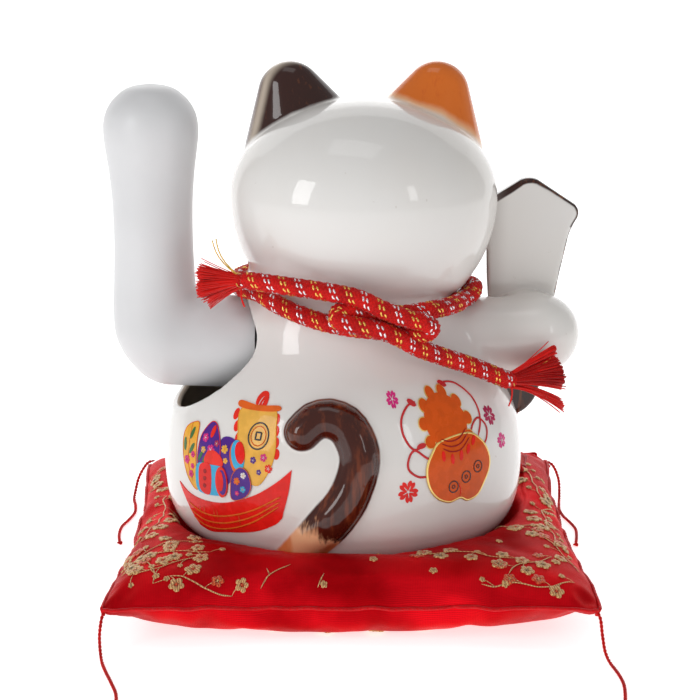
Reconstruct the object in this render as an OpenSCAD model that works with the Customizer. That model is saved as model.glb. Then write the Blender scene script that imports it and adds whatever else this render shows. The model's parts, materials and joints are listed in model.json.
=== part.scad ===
// Beckoning cat figurine: a hollow glazed cat with a waving arm, sitting on a square cushion.
// The cat faces -Y. +X is the cat's left, the side of the waving arm. Z = 0 is the resting surface.

/* [Cat] */
// Sideways place of the body's middle
body_x = 4; // [0:1:8]
// Front-to-back place of the body's middle
body_y = -8; // [-12:1:-4]
// Depth of the body as a part of its width
body_depth = 0.87; // [0.8:0.01:0.92]
// Thickness of the cast wall
wall = 4.5; // [3.5:0.5:6]
// Sideways place of the head's middle
head_x = -7.5; // [-10:0.5:0]
// Height of the head's widest ring
head_z = 212; // [208:1:216]
// Half of the head's width
head_rx = 73.7; // [70:0.1:76]
// Half of the head's depth
head_ry = 64; // [60:1:68]
// Height of the skull above its widest ring
head_up = 54; // [50:1:58]
// Reach of the jaw below the widest ring
head_down = 75; // [70:1:80]
// Height of the ear tips
ear_tip_z = 281; // [276:1:284]

/* [Waving arm] */
// Height of the axle
axle_z = 130; // [126:1:134]
// Sideways place of the forearm
forearm_x = 107; // [104:1:110]
// Radius of the upper arm
upper_r = 23.5; // [22:0.5:25]
// Radius of the forearm at its waist
wrist_r = 21.2; // [20:0.1:22]
// Radius of the paw
paw_r = 24.5; // [23:0.5:26]
// Height of the paw's top
paw_top = 272; // [266:1:276]
// Thickness of the arm's shell
arm_wall = 1.8; // [1.5:0.1:2.5]
// Radius of the opening in the shoulder
shoulder_hole_r = 38; // [34:1:40]
// Radius of the axle
axle_r = 2; // [1.5:0.5:2.5]
// Running clearance of the axle in its bushes
axle_gap = 0.05; // [0.02:0.01:0.1]

/* [Base] */
// Underside of the base plate's flange
plate_z = 14.5; // [14:0.5:15]
// Thickness of the flange
plate_t = 3; // [2.5:0.5:3.5]
// Radius of the flange
plate_r = 63; // [62:1:64]
// Radius of the opening in the casting's underside
plug_hole_r = 58; // [57:0.5:59]
// Travel of the battery door
door_travel = 12; // [8:1:14]
// Travel of the switch knob
knob_travel = 3; // [2:0.5:4]

/* [Cushion] */
// Half of the cushion's side, at the corners
cushion_half = 125; // [122:1:128]
// How far the middle of each side is drawn in
side_pull = 7; // [4:1:10]
// Height of the seam
seam_z = 22; // [20:1:24]
// Rise of the top panel above the seam
crown_h = 17; // [14:1:20]
// Thickness of a fabric panel
panel_t = 1.2; // [1:0.1:1.5]
// Height of the hollow that the cat sits in
dent_z = 12; // [11:0.5:12]

/* [Cords] */
// Diameter of the collar cord
collar_d = 10; // [9:0.5:11]
// Diameter of a corner string
string_d = 2; // [1.5:0.1:2.5]
// Diameter of the cord on the plaque
plaque_cord_d = 3.2; // [2.8:0.1:3.6]

/* [Hidden] */

$fn = 48;
gap = 0.3;

// Outer radius of the body at each height, widest across X
BODY_LINE = [[18.5, 79], [24, 88], [31, 95], [44, 100], [61, 101.5], [78, 100.5], [91, 98],
    [106, 91], [116, 83], [128, 72], [140, 64.5], [152, 60.5], [162, 54]];
body_low = BODY_LINE[0][0];
body_high = BODY_LINE[len(BODY_LINE) - 1][0];
floor_t = 4;

// Middle of the elbow, and the inner end of the upper arm
elbow_r = 25;
elbow_x = forearm_x - 3;
stub_x = 52;

// Fixed arm and the plaque that it holds
fixed_z = 136;
fixed_r = 20;
plaque_y = -33;
plaque_t = 9;
PLAQUE = [[-101, 220], [-131, 200], [-125, 192], [-118, 158], [-110, 98], [-105, 86], [-96, 82],
    [-88, 86], [-84, 98], [-78, 158], [-77, 193], [-70, 201]];

// Middle of a hind foot, beside and in front of the body's middle
foot_in = 46;
foot_y = 76;

// Middle line of the tail, as places across and up the cat's back
TAIL = [[25, 104], [17, 110], [8, 110], [-2, 103], [-6, 86], [-1, 68], [9, 54], [24, 40], [35, 28]];
tail_r = 9.6;

plate_top = plate_z + plate_t;
case_x = 61.2;
case_y = 33.2;
case_h = 17.6;
case_wall = 1.6;
case_cy = body_y - 26;
door_t = 1.5;
door_x = case_x + 4;
door_y = case_y + 3;
knob_x = body_x - 27;
knob_y = body_y + 34;
cell_r = 7.25;
cell_l = 50.5;
pcb_z = 26;
wire_d = 1.3;
coil_x = 12;
post_a = 38;
post_b = -22;
post_t = 4;
tie_up = 10;
foot_screw_x = 4.5;
magnet_top = 50;
weight_z = 66;

// Places on the collar
collar_rx = 66.5;
collar_ry = 57;
collar_z = 161;
collar_tilt = 3;
collar_cx = -1;
LEFT_END = [[-8, 57, 169], [15, 58, 172], [38, 52, 174], [56, 43, 174.5]];
RIGHT_END = [[-28, 60, 149], [-45, 48, 137], [-65, 35, 124], [-87, 25, 114]];
left_tip = [80, 36, 172];
right_tip = [-116, 19, 116];
bell_r = 11.5;
// The bell hangs forward of straight down by this angle, from a pin between two rings on the cord
bell_lean = 38;
eye_out = bell_r + 2;
pin_drop = 8;
pin_r = 0.9;
ring_gap = 3.6;

// Routes of the free cords
NEAR_LEFT = [[124, 124, 22], [126, 128, 19], [127, 132, 11], [126, 138, 4], [124, 146, 1],
    [121, 156, 1], [117, 168, 1], [113, 182, 1], [112, 197, 1], [114, 212, 1], [118, 226, 1]];
NEAR_RIGHT = [[-124, 124, 22], [-127, 128, 19], [-128, 132, 11], [-129, 138, 4], [-131, 146, 1],
    [-133, 157, 1], [-134, 169, 1], [-133, 182, 1], [-131, 196, 1], [-131, 210, 1], [-133, 224, 1]];
FAR_LEFT = [[124, -124, 22], [129, -124, 20], [134, -121, 12], [136, -116, 4], [136, -108, 1],
    [134, -97, 1], [133, -84, 1], [135, -71, 1], [138, -58, 1], [138, -44, 1], [136, -30, 1]];
FAR_RIGHT = [[-124, -124, 22], [-129, -122, 19], [-132, -116, 12], [-132, -109, 4], [-131, -101, 1],
    [-130, -90, 1], [-131, -78, 1], [-134, -66, 1], [-136, -54, 1], [-135, -40, 1], [-133, -27, 1]];
PLAQUE_CORD = [[-96, -33, 83], [-96, -33, 76], [-97, -34, 66], [-98, -37, 56], [-100, -42, 46],
    [-102, -50, 39.5], [-104, -60, 37.5]];
plaque_cord_tip = [-106, -84, 36.8];

// ---- Routes and skins ----

function unit(v) = v / norm(v);

// One point of a smooth curve through four neighbours
function curve_point(a, b, c, d, t) = 0.5 * (2 * b + (c - a) * t
    + (2 * a - 5 * b + 4 * c - d) * t * t + (3 * b - 3 * c + d - a) * t * t * t);
function at(p, i) = p[max(0, min(len(p) - 1, i))];
// A smooth route through the points, never lower than its own radius
function route(p, steps, low) = [for (i = [0:len(p) - 2], k = [0:steps - 1])
        lifted(curve_point(at(p, i - 1), at(p, i), at(p, i + 1), at(p, i + 2), k / steps), low),
    at(p, len(p) - 1)];
function lifted(v, low) = [v.x, v.y, max(v.z, low)];
function heading(p, i) = unit(at(p, i + 1) - at(p, i - 1));
function across(p, i, last) = i >= len(p) ? [] :
    let (h = heading(p, i), s = unit(last - (last * h) * h)) concat([s], across(p, i + 1, s));

// A round tube swept along a route
module tube(p, d, sides, first) {
    side = across(p, 0, first);
    rings = len(p);
    points = [for (i = [0:rings - 1], k = [0:sides - 1])
        let (s = side[i], n = cross(heading(p, i), s), a = 360 * k / sides)
            p[i] + d / 2 * (cos(a) * s + sin(a) * n)];
    skin = [for (i = [0:rings - 2], k = [0:sides - 1])
        let (m = (k + 1) % sides) [i * sides + k, (i + 1) * sides + k, (i + 1) * sides + m, i * sides + m]];
    polyhedron(points, concat(skin, [[for (k = [0:sides - 1]) k]],
        [[for (k = [sides - 1:-1:0]) (rings - 1) * sides + k]]), convexity = 4);
}

// Children stand along +Z; this lays them from a towards b
module along(a, b) {
    v = b - a;
    translate(a) rotate([0, acos(v.z / norm(v)), atan2(v.y, v.x)]) children();
}

// ---- Cushion ----

cells = 22;
function grid(i) = 2 * i / cells - 1;
function bulge(s, t) = pow((1 - pow(abs(s), 2.6)) * (1 - pow(abs(t), 2.6)), 0.45);
function plan_x(s, t) = s * (cushion_half - side_pull * (1 - t * t));
function plan_y(s, t) = t * (cushion_half - side_pull * (1 - s * s));
// Height of the hollow under the cat: under its body, its hind feet and the foot of its tail
function under_body(x, y) = lookup(norm([x - body_x, (y - body_y) / body_depth]),
    [[84, dent_z], [95, 22], [101, 31], [107, 42], [300, 90]]);
function under_foot(x, y, side) = lookup(norm([x - body_x - side * foot_in, y - body_y + foot_y]),
    [[29, 17], [41, 42], [300, 90]]);
function under_tail(x, y) = lookup(norm([x - 30, y - 72]), [[14, 16], [26, 42], [300, 90]]);
function hollow(x, y) = min(under_body(x, y), under_foot(x, y, -1), under_foot(x, y, 1), under_tail(x, y));
function top_z(s, t) = min(seam_z + 0.5 + panel_t + crown_h * bulge(s, t),
    hollow(plan_x(s, t), plan_y(s, t)));
function low_z(s, t) = max(0, seam_z - 0.5 - panel_t - 1.25 * seam_z * bulge(s, t));
function sheet_z(which, s, t) = which == 0 ? top_z(s, t) : which == 1 ? top_z(s, t) - panel_t
    : which == 2 ? low_z(s, t) + panel_t : low_z(s, t);

// Closed solid between two of the cushion's four surfaces, counted from the top
module between(upper, lower) {
    n = cells + 1;
    points = [for (w = [upper, lower], i = [0:cells], j = [0:cells])
        let (s = grid(i), t = grid(j)) [plan_x(s, t), plan_y(s, t), sheet_z(w, s, t)]];
    function p(w, i, j) = w * n * n + i * n + j;
    top = [for (i = [0:cells - 1], j = [0:cells - 1], k = [0, 1]) k == 0
        ? [p(0, i, j), p(0, i, j + 1), p(0, i + 1, j + 1)] : [p(0, i, j), p(0, i + 1, j + 1), p(0, i + 1, j)]];
    bottom = [for (i = [0:cells - 1], j = [0:cells - 1], k = [0, 1]) k == 0
        ? [p(1, i, j), p(1, i + 1, j + 1), p(1, i, j + 1)] : [p(1, i, j), p(1, i + 1, j), p(1, i + 1, j + 1)]];
    sides = [for (i = [0:cells - 1], k = [0:3])
        k == 0 ? [p(0, i, 0), p(0, i + 1, 0), p(1, i + 1, 0), p(1, i, 0)]
        : k == 1 ? [p(0, i + 1, cells), p(0, i, cells), p(1, i, cells), p(1, i + 1, cells)]
        : k == 2 ? [p(0, 0, i + 1), p(0, 0, i), p(1, 0, i), p(1, 0, i + 1)]
        : [p(0, cells, i), p(0, cells, i + 1), p(1, cells, i + 1), p(1, cells, i)]];
    polyhedron(points, concat(top, bottom, sides), convexity = 6);
}

module cushion_top_panel() color([0.72, 0.02, 0.04]) between(0, 1);
module cushion_filling() color([0.92, 0.9, 0.86]) between(1, 2);
module cushion_bottom_panel() color([0.6, 0.02, 0.04]) between(2, 3);

module corner_string(p) color([0.7, 0.05, 0.06]) tube(route(p, 2, string_d / 2), string_d, 8, [1, 0.2, 0.3]);
module corner_string_near_left() corner_string(NEAR_LEFT);
module corner_string_near_right() corner_string(NEAR_RIGHT);
module corner_string_far_left() corner_string(FAR_LEFT);
module corner_string_far_right() corner_string(FAR_RIGHT);

// ---- Casting ----

function body_r(z) = lookup(z, BODY_LINE);
// Where the back of the body is, at a place across and up it
function back_y(x, z) = body_y + body_depth * sqrt(max(0, pow(body_r(z), 2) - pow(x - body_x, 2)));

module body_form(inset) {
    line = [for (p = BODY_LINE) if (p[0] > body_low + inset || inset == 0) [p[1] - inset, p[0]]];
    foot = body_low + (inset == 0 ? 0 : floor_t);
    translate([body_x, body_y, 0]) scale([1, body_depth, 1]) rotate_extrude($fn = 46)
        polygon(concat([[0, foot]], inset == 0 ? [] : [[body_r(foot) - inset - 2, foot]], line,
            [[0, body_high]]));
}

module head_form(inset) {
    for (side = [0, 1]) intersection() {
        translate([head_x, body_y, head_z])
            scale([head_rx - inset, head_ry - inset, (side == 0 ? head_up : head_down) - inset])
                sphere(1, $fn = 34);
        translate([-100, -100, side == 0 ? head_z - 0.01 : head_z - 100 + 0.01]) cube([200, 200, 100]);
    }
}

module ear(side) hull() {
    translate([head_x + side * 42, body_y - 12, ear_tip_z]) sphere(4, $fn = 14);
    translate([head_x + side * 60, body_y - 10, 250]) sphere(9, $fn = 14);
    translate([head_x + side * 18, body_y - 10, 252]) sphere(9, $fn = 14);
    translate([head_x + side * 40, body_y - 6, 236]) sphere(16, $fn = 14);
}

module tail() for (i = [0:len(TAIL) - 2]) hull() for (p = [TAIL[i], TAIL[i + 1]])
    translate([p[0], back_y(p[0], p[1]) - 5, p[1]]) sphere(tail_r, $fn = 10);

module fixed_arm() {
    hull() {
        translate([-45, body_y, fixed_z - 8]) sphere(fixed_r + 2, $fn = 20);
        translate([-104, body_y - 4, fixed_z]) sphere(fixed_r, $fn = 20);
    }
    hull() {
        translate([-104, body_y - 4, fixed_z]) sphere(fixed_r - 0.5, $fn = 20);
        translate([-96, plaque_y - 4, fixed_z + 8]) sphere(15, $fn = 20);
    }
}

module plaque() translate([0, plaque_y + plaque_t / 2, 0]) rotate([90, 0, 0])
    linear_extrude(plaque_t) polygon(PLAQUE);

module hind_foot(side) hull() {
    translate([body_x + side * foot_in, body_y - 72, 40]) scale([1, 1, 0.8]) sphere(24, $fn = 18);
    for (toe = [-5, 5]) translate([body_x + side * (foot_in - 1) + toe, body_y - 86, 32]) sphere(13, $fn = 18);
}

// One hollow casting, open under the base and at the waving shoulder
module ceramic_body() color([0.93, 0.92, 0.9]) resize([0, 0, 0]) difference() {
    union() {
        body_form(0);
        head_form(0);
        ear(-1);
        ear(1);
        tail();
        fixed_arm();
        plaque();
        hind_foot(-1);
        hind_foot(1);
    }
    body_form(wall);
    head_form(wall);
    translate([body_x, body_y, 0]) cylinder(r = plug_hole_r, h = 40, $fn = 64);
    translate([stub_x - 8, 0, axle_z]) rotate([0, 90, 0]) cylinder(r = shoulder_hole_r, h = 80, $fn = 40);
}

// ---- Base ----

module foot_places() for (a = [0:90:270]) translate([body_x + 55 * cos(a), body_y + 55 * sin(a), 0]) children();

module base_plate() color([0.9, 0.88, 0.82]) difference() {
    union() {
        translate([body_x, body_y, plate_z]) cylinder(r = plate_r, h = plate_t);
        translate([body_x, body_y, plate_top - 0.01]) difference() {
            cylinder(r = plug_hole_r - 0.6, h = 7.01);
            translate([0, 0, -1]) cylinder(r = plug_hole_r - 3, h = 9);
        }
    }
    // Recess in which the battery door slides, and the window above it
    translate([body_x - door_x / 2 - gap, case_cy - door_y / 2 - gap, plate_z - 1])
        cube([door_x + 2 * gap, door_y + 2 * gap + door_travel, 1 + door_t + gap]);
    translate([body_x - case_x / 2 + case_wall, case_cy - case_y / 2 + case_wall, plate_z - 1])
        cube([case_x - 2 * case_wall, case_y - 2 * case_wall, plate_t + 2]);
    translate([knob_x - 4 - knob_travel / 2, knob_y - 2.5, plate_z - 1]) cube([8 + knob_travel, 5, plate_t + 2]);
    screw_places() translate([0, 0, plate_z - 1]) cylinder(r = 1.6, h = plate_t + 2);
    screw_places() translate([0, 0, plate_z - 1]) cylinder(r = 3.2, h = 2.5);
}

module base_seal() color([0.72, 0.78, 0.3]) translate([body_x, body_y, plate_top]) difference() {
    cylinder(r = plate_r - 0.5, h = body_low - plate_top);
    translate([0, 0, -1]) cylinder(r = plug_hole_r + 0.2, h = 4);
}

module base_feet() color([0.12, 0.12, 0.12]) foot_places() translate([0, 0, dent_z + 0.3])
    cylinder(r = 6, h = plate_z - dent_z - 0.3);

module screw_places() for (x = [post_a, post_b], y = [2, 13]) translate([x + foot_screw_x, y, 0]) children();

module base_screws() color([0.75, 0.75, 0.77]) screw_places() translate([0, 0, plate_z]) union() {
    cylinder(r = 2.9, h = 1.5);
    cylinder(r = 1.6, h = 9);
}

module battery_case() color([0.15, 0.15, 0.16]) translate([body_x - case_x / 2, case_cy - case_y / 2, plate_top])
    difference() {
        cube([case_x, case_y, case_h]);
        translate([case_wall, case_wall, -1]) cube([case_x - 2 * case_wall, case_y - 2 * case_wall, case_h - case_wall + 1]);
    }

module batteries() color([0.25, 0.35, 0.3]) for (side = [-1, 1]) translate([body_x, case_cy + side * 7.4, plate_top + 8])
    rotate([0, 90 * side, 0]) union() {
        translate([0, 0, -cell_l / 2]) cylinder(r = cell_r, h = cell_l - 1);
        translate([0, 0, cell_l / 2 - 1]) cylinder(r = 2.7, h = 1);
    }

module contact_springs() color([0.8, 0.8, 0.82]) for (side = [-1, 1])
    translate([body_x - side * cell_l / 2, case_cy + side * 7.4, plate_top + 8]) rotate([0, -90 * side, 0]) difference() {
        cylinder(r1 = 3, r2 = 4.5, h = 2.9);
        translate([0, 0, -1]) cylinder(r = 2.2, h = 5);
    }

module contact_plates() color([0.85, 0.8, 0.6]) for (side = [-1, 1])
    translate([body_x + side * (case_x / 2 - case_wall - 0.2) - 0.2, case_cy - 12, plate_top + 2]) cube([0.4, 24, 12]);

module battery_door() color([0.88, 0.86, 0.8]) translate([body_x - door_x / 2, case_cy - door_y / 2, plate_z]) difference() {
    cube([door_x, door_y, door_t]);
    for (i = [0:3]) translate([door_x / 2 - 8, 4 + 2.4 * i, -0.5]) cube([16, 1.2, 1]);
}

module switch_housing() color([0.1, 0.1, 0.1]) translate([knob_x, knob_y, plate_top]) difference() {
    translate([-9, -4.5, 0]) cube([18, 9, 7]);
    translate([-4.3 - knob_travel / 2, -2.8, -1]) cube([8.6 + knob_travel, 5.6, 4]);
}

module switch_knob() color([0.85, 0.2, 0.15]) translate([knob_x - knob_travel / 2, knob_y, 0]) union() {
    translate([-3.6, -2.2, plate_z]) cube([7.2, 4.4, plate_t + 2.4]);
    for (i = [-1:1]) translate([i * 2 - 0.4, -2.2, plate_z - 0.9]) cube([0.8, 4.4, 0.9]);
}

// ---- Electrics ----

pcb_cx = 14;
pcb_cy = 22;
module board_pillar_places() for (x = [-16, 16], y = [-12, 12]) translate([pcb_cx + x, pcb_cy + y, 0]) children();

module circuit_board() color([0.1, 0.42, 0.2]) difference() {
    translate([pcb_cx - 20, pcb_cy - 16, pcb_z]) cube([40, 32, 1.6]);
    board_pillar_places() translate([0, 0, pcb_z - 1]) cylinder(r = 1.2, h = 4);
}

module board_pillars() color([0.9, 0.88, 0.82]) board_pillar_places() translate([0, 0, plate_top]) union() {
    cylinder(r = 2.6, h = pcb_z - plate_top);
    cylinder(r = 1.2, h = pcb_z - plate_top + 3);
}

// The coil stands on its own bobbin beside the board, right under the magnet
module drive_coil() color([0.72, 0.4, 0.2]) translate([coil_x, 0, 0]) difference() {
    union() {
        translate([0, 0, plate_top]) cylinder(r = 4, h = 20);
        translate([0, 0, 30]) cylinder(r = 5.4, h = 8);
    }
    translate([0, 0, 32]) cylinder(r = 2, h = 8);
}

module battery_wires() color([0.7, 0.05, 0.05]) for (k = [0, 1]) tube(route([
    [body_x + case_x / 2 + 0.7, case_cy + 5 * k, 26], [40, -32 + 5 * k, 29], [46 - 2 * k, -18, 33],
    [46 - 2 * k, 4, 35], [41 - 2 * k, 17 - 3 * k, 33], [32, 20 - 5 * k, pcb_z + 2.4]], 2, 1),
    wire_d, 8, [0, 0.1, 1]);

module switch_wires() color([0.05, 0.05, 0.05]) for (k = [0, 1]) tube(route([
    [knob_x + 9.7, knob_y - 2 + 4 * k, 21], [knob_x + 12.5, knob_y - 2 + 4 * k, 24],
    [knob_x + 14, knob_y - 1 + 2 * k, 29], [knob_x + 18, knob_y - 1.5 + 3 * k, 31],
    [knob_x + 22, knob_y - 1.5 + 3 * k, pcb_z + 2.4]], 2, 1), wire_d, 8, [0, 1, 0.1]);

// ---- Mechanism ----

module bearing_post(x) translate([x - post_t / 2, 0, 0]) difference() {
    union() {
        translate([0, -7, plate_top]) cube([post_t, 14, axle_z + tie_up + 4 - plate_top]);
        translate([0, -7, plate_top]) cube([post_t + 5, 24, 4]);
        translate([-2, 0, axle_z]) rotate([0, 90, 0]) cylinder(r = 8, h = post_t + 4);
    }
    translate([-5, 0, axle_z]) rotate([0, 90, 0]) cylinder(r = 4, h = post_t + 12);
    for (y = [2, 13]) translate([post_t / 2 + foot_screw_x, y, plate_top - 1]) cylinder(r = 1.6, h = 8);
}

module mechanism_frame() color([0.2, 0.2, 0.22]) union() {
    bearing_post(post_a);
    bearing_post(post_b);
    translate([post_b + post_t / 2 - 0.01, -3, axle_z + tie_up])
        cube([post_a - post_b - post_t + 0.02, 6, 4]);
}

module axle_bushes() color([0.8, 0.62, 0.28]) for (x = [post_a, post_b]) translate([x - post_t / 2 - 2.5, 0, axle_z])
    rotate([0, 90, 0]) difference() {
        cylinder(r = 4, h = post_t + 5);
        translate([0, 0, -1]) cylinder(r = axle_r + axle_gap, h = post_t + 8);
    }

module axle() color([0.75, 0.75, 0.77]) translate([post_b - 9, 0, axle_z]) rotate([0, 90, 0])
    cylinder(r = axle_r, h = stub_x + 20 - post_b + 9);

module axle_clips() color([0.3, 0.3, 0.32]) for (x = [post_b - 6.2, post_a + 5]) translate([x, 0, axle_z])
    rotate([0, 90, 0]) difference() {
        cylinder(r = 3.6, h = 0.8);
        translate([0, 0, -1]) cylinder(r = axle_r, h = 3);
    }

module pendulum_bar() color([0.85, 0.85, 0.87]) translate([coil_x, 0, 0]) difference() {
    union() {
        translate([-4, 0, axle_z]) rotate([0, 90, 0]) cylinder(r = 6, h = 8);
        translate([-1.5, -4, magnet_top]) cube([3, 8, axle_z - magnet_top]);
    }
    translate([-6, 0, axle_z]) rotate([0, 90, 0]) cylinder(r = axle_r, h = 12);
}

module counterweight() color([0.35, 0.35, 0.36]) translate([coil_x, 0, weight_z]) difference() {
    translate([-7, 0, 0]) rotate([0, 90, 0]) cylinder(r = 13, h = 14);
    translate([-1.5, -4, -20]) cube([3, 8, 40]);
}

module drive_magnet() color([0.6, 0.6, 0.62]) translate([coil_x, 0, magnet_top - 6]) cylinder(r = 8, h = 6);

// ---- Waving arm ----

module arm_form(inset) {
    translate([stub_x, 0, axle_z]) rotate([0, 90, 0]) cylinder(r = upper_r - inset, h = elbow_x - stub_x, $fn = 32);
    translate([elbow_x, 0, axle_z + 1]) sphere(elbow_r - inset, $fn = 32);
    hull() {
        translate([elbow_x, 0, axle_z + 5]) sphere(elbow_r - 0.3 - inset, $fn = 28);
        translate([forearm_x, 0, 176]) cylinder(r = wrist_r + 0.6 - inset, h = 4, $fn = 32);
    }
    translate([forearm_x, 0, 0]) rotate_extrude($fn = 32) polygon([[0, 174], [wrist_r + 0.6 - inset, 176],
        [wrist_r - inset, 190], [wrist_r + 0.3 - inset, 214], [paw_r - 1 - inset, 238], [paw_r - inset, 250],
        [paw_r - 1.4 - inset, 258], [paw_r - 5.5 - inset * 0.8, 265.5 - inset * 0.4], [paw_r - 12, 270 - inset], [0, paw_top - inset]]);
}

module arm_shell(side) color([0.94, 0.95, 0.97]) resize([0, 0, 0]) intersection() {
    difference() {
        arm_form(0);
        arm_form(arm_wall);
        translate([stub_x - 4, 0, axle_z]) rotate([0, 90, 0]) cylinder(r = upper_r - arm_wall, h = 12, $fn = 32);
    }
    translate([0, side == 1 ? 0 : -60, 80]) cube([160, 60, 220]);
}

module arm_shell_front() arm_shell(-1);
module arm_shell_back() arm_shell(1);

module hub_screw_places() for (a = [90, 210, 330]) translate([stub_x + 2, 13 * cos(a), axle_z + 13 * sin(a)]) rotate([0, 90, 0]) children();

module arm_hub() color([0.9, 0.9, 0.92]) difference() {
    union() {
        translate([stub_x + 2, 0, axle_z]) rotate([0, 90, 0]) cylinder(r = upper_r - arm_wall - gap, h = 4);
        translate([stub_x + 2, 0, axle_z]) rotate([0, 90, 0]) cylinder(r = 7, h = 18);
    }
    translate([stub_x, 0, axle_z]) rotate([0, 90, 0]) cylinder(r = axle_r, h = 30);
    hub_screw_places() translate([0, 0, -1]) cylinder(r = 1.2, h = 9);
}

module arm_screws() color([0.75, 0.75, 0.77]) hub_screw_places() union() {
    translate([0, 0, -1.4]) cylinder(r = 2.4, h = 1.4);
    cylinder(r = 1.2, h = 8);
}

// ---- Collar ----

function ring_point(a) = [collar_cx + collar_rx * sin(a), body_y + collar_ry * cos(a),
    collar_z + collar_tilt * sin(a)];

module collar_cord() color([0.8, 0.05, 0.07])
    tube([for (i = [0:46]) ring_point(2 + i * (336 - 2) / 46)], collar_d, 10, [0, 0, 1]);

module collar_knot() color([0.8, 0.05, 0.07]) hull() {
    translate([2, 58, 163]) sphere(7, $fn = 16);
    translate([-38, 56, 161]) sphere(7, $fn = 16);
    translate([-17, 60, 167]) sphere(6, $fn = 16);
    translate([-17, 60, 157]) sphere(6, $fn = 16);
}

module collar_end(p) color([0.8, 0.05, 0.07]) tube(route(p, 3, 0), collar_d - 0.6, 10, [0, 0, 1]);
module collar_end_left() collar_end(LEFT_END);
module collar_end_right() collar_end(RIGHT_END);

module binding(p, tip) color([0.85, 0.62, 0.15]) along(p[3], tip) cylinder(r = 4.2, h = 4);
module left_binding() binding(LEFT_END, left_tip);
module right_binding() binding(RIGHT_END, right_tip);

module tassel(p, tip) color([0.85, 0.06, 0.06]) along(p[3], tip) translate([0, 0, 4])
    cylinder(r1 = 3.6, r2 = 9, h = norm(tip - p[3]) - 4);
module left_tassel() tassel(LEFT_END, left_tip);
module right_tassel() tassel(RIGHT_END, right_tip);

// ---- Bell ----

// From the middle of the cord to the bell: Z points at the pin, then on through the bell
module bell_way(out) translate([collar_cx, body_y - collar_ry, collar_z]) rotate([180 - bell_lean, 0, 0])
    translate([0, 0, out]) children();
module bell_pin(r, l) rotate([0, 90, 0]) cylinder(r = r, h = l, center = true);

// Two rings round the cord, joined by the pin that the bell hangs on
module bell_loop() color([0.85, 0.62, 0.15]) union() {
    for (side = [-1, 1]) bell_way(1) translate([side * ring_gap, 0, 0]) rotate([0, 90, 0])
        rotate_extrude() translate([pin_drop - 1, 0]) circle(r = 0.8, $fn = 16);
    bell_way(pin_drop) bell_pin(pin_r, 2 * ring_gap + 1.2);
}

module bell_shell() difference() {
    sphere(bell_r);
    sphere(bell_r - 1.2);
}

// The bell's own frame: Z points from its middle to the pin
module bell_turned() bell_way(pin_drop + eye_out) rotate([180, 0, 0]) children();

module bell_upper() color([0.9, 0.68, 0.2]) bell_turned() union() {
    intersection() {
        bell_shell();
        translate([-20, -20, 0.1]) cube(40);
    }
    // Seam bead and eye
    difference() {
        translate([0, 0, 0.1]) cylinder(r = bell_r + 0.8, h = 0.9);
        translate([0, 0, -1]) cylinder(r = bell_r - 1, h = 3);
    }
    difference() {
        union() {
            translate([0, 0, bell_r - 0.6]) cylinder(r = 1.6, h = 1.4);
            translate([0, 0, eye_out]) bell_pin(2.2, 4);
        }
        translate([0, 0, eye_out]) bell_pin(pin_r + 0.05, 6);
    }
}

module bell_lower() color([0.9, 0.68, 0.2]) bell_turned() difference() {
    union() {
        intersection() {
            bell_shell();
            translate([-20, -20, -40.1]) cube(40);
        }
        difference() {
            translate([0, 0, -1]) cylinder(r = bell_r + 0.8, h = 0.9);
            translate([0, 0, -2]) cylinder(r = bell_r - 1, h = 3);
        }
    }
    translate([-7, -1, -bell_r - 2]) cube([14, 2, bell_r - 4]);
    for (x = [-7, 7]) translate([x, 0, -bell_r - 2]) cylinder(r = 2, h = bell_r - 3);
}

module bell_pellet() color([0.5, 0.5, 0.52]) bell_turned() translate([0, 0, -bell_r + 4.4]) sphere(3);

// ---- Cord on the plaque ----

module plaque_cord() color([0.8, 0.03, 0.05]) tube(route(PLAQUE_CORD, 2, 0), plaque_cord_d, 8, [1, 0, 0]);
module plaque_tassel() color([0.8, 0.03, 0.05]) along(PLAQUE_CORD[6], plaque_cord_tip)
    cylinder(r1 = 2, r2 = 3.4, h = 24);

cushion_top_panel();
cushion_filling();
cushion_bottom_panel();
corner_string_near_left();
corner_string_near_right();
corner_string_far_left();
corner_string_far_right();
ceramic_body();
base_plate();
base_seal();
base_feet();
base_screws();
battery_case();
batteries();
contact_springs();
contact_plates();
battery_door();
switch_housing();
switch_knob();
circuit_board();
board_pillars();
drive_coil();
battery_wires();
switch_wires();
mechanism_frame();
axle_bushes();
axle();
axle_clips();
pendulum_bar();
counterweight();
drive_magnet();
arm_hub();
arm_screws();
arm_shell_front();
arm_shell_back();
collar_cord();
collar_knot();
collar_end_left();
collar_end_right();
left_binding();
right_binding();
left_tassel();
right_tassel();
bell_loop();
bell_upper();
bell_lower();
bell_pellet();
plaque_cord();
plaque_tassel();
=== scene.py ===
import json
import math

import bmesh
import bpy
import numpy as np
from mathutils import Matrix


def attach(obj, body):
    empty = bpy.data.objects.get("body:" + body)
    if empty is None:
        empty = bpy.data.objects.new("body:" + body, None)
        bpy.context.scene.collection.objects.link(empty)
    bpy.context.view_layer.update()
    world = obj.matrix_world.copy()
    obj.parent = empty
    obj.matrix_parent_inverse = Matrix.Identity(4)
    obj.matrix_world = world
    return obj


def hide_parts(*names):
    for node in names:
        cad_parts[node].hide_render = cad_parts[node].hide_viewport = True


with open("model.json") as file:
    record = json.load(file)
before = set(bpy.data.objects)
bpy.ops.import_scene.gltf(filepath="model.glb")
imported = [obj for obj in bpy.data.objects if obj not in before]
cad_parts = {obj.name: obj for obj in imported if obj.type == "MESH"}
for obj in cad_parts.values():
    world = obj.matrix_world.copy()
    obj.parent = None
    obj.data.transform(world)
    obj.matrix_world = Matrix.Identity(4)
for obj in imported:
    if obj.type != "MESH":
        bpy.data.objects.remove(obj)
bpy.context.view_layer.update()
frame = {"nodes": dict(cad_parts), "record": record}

import openvdb
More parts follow.
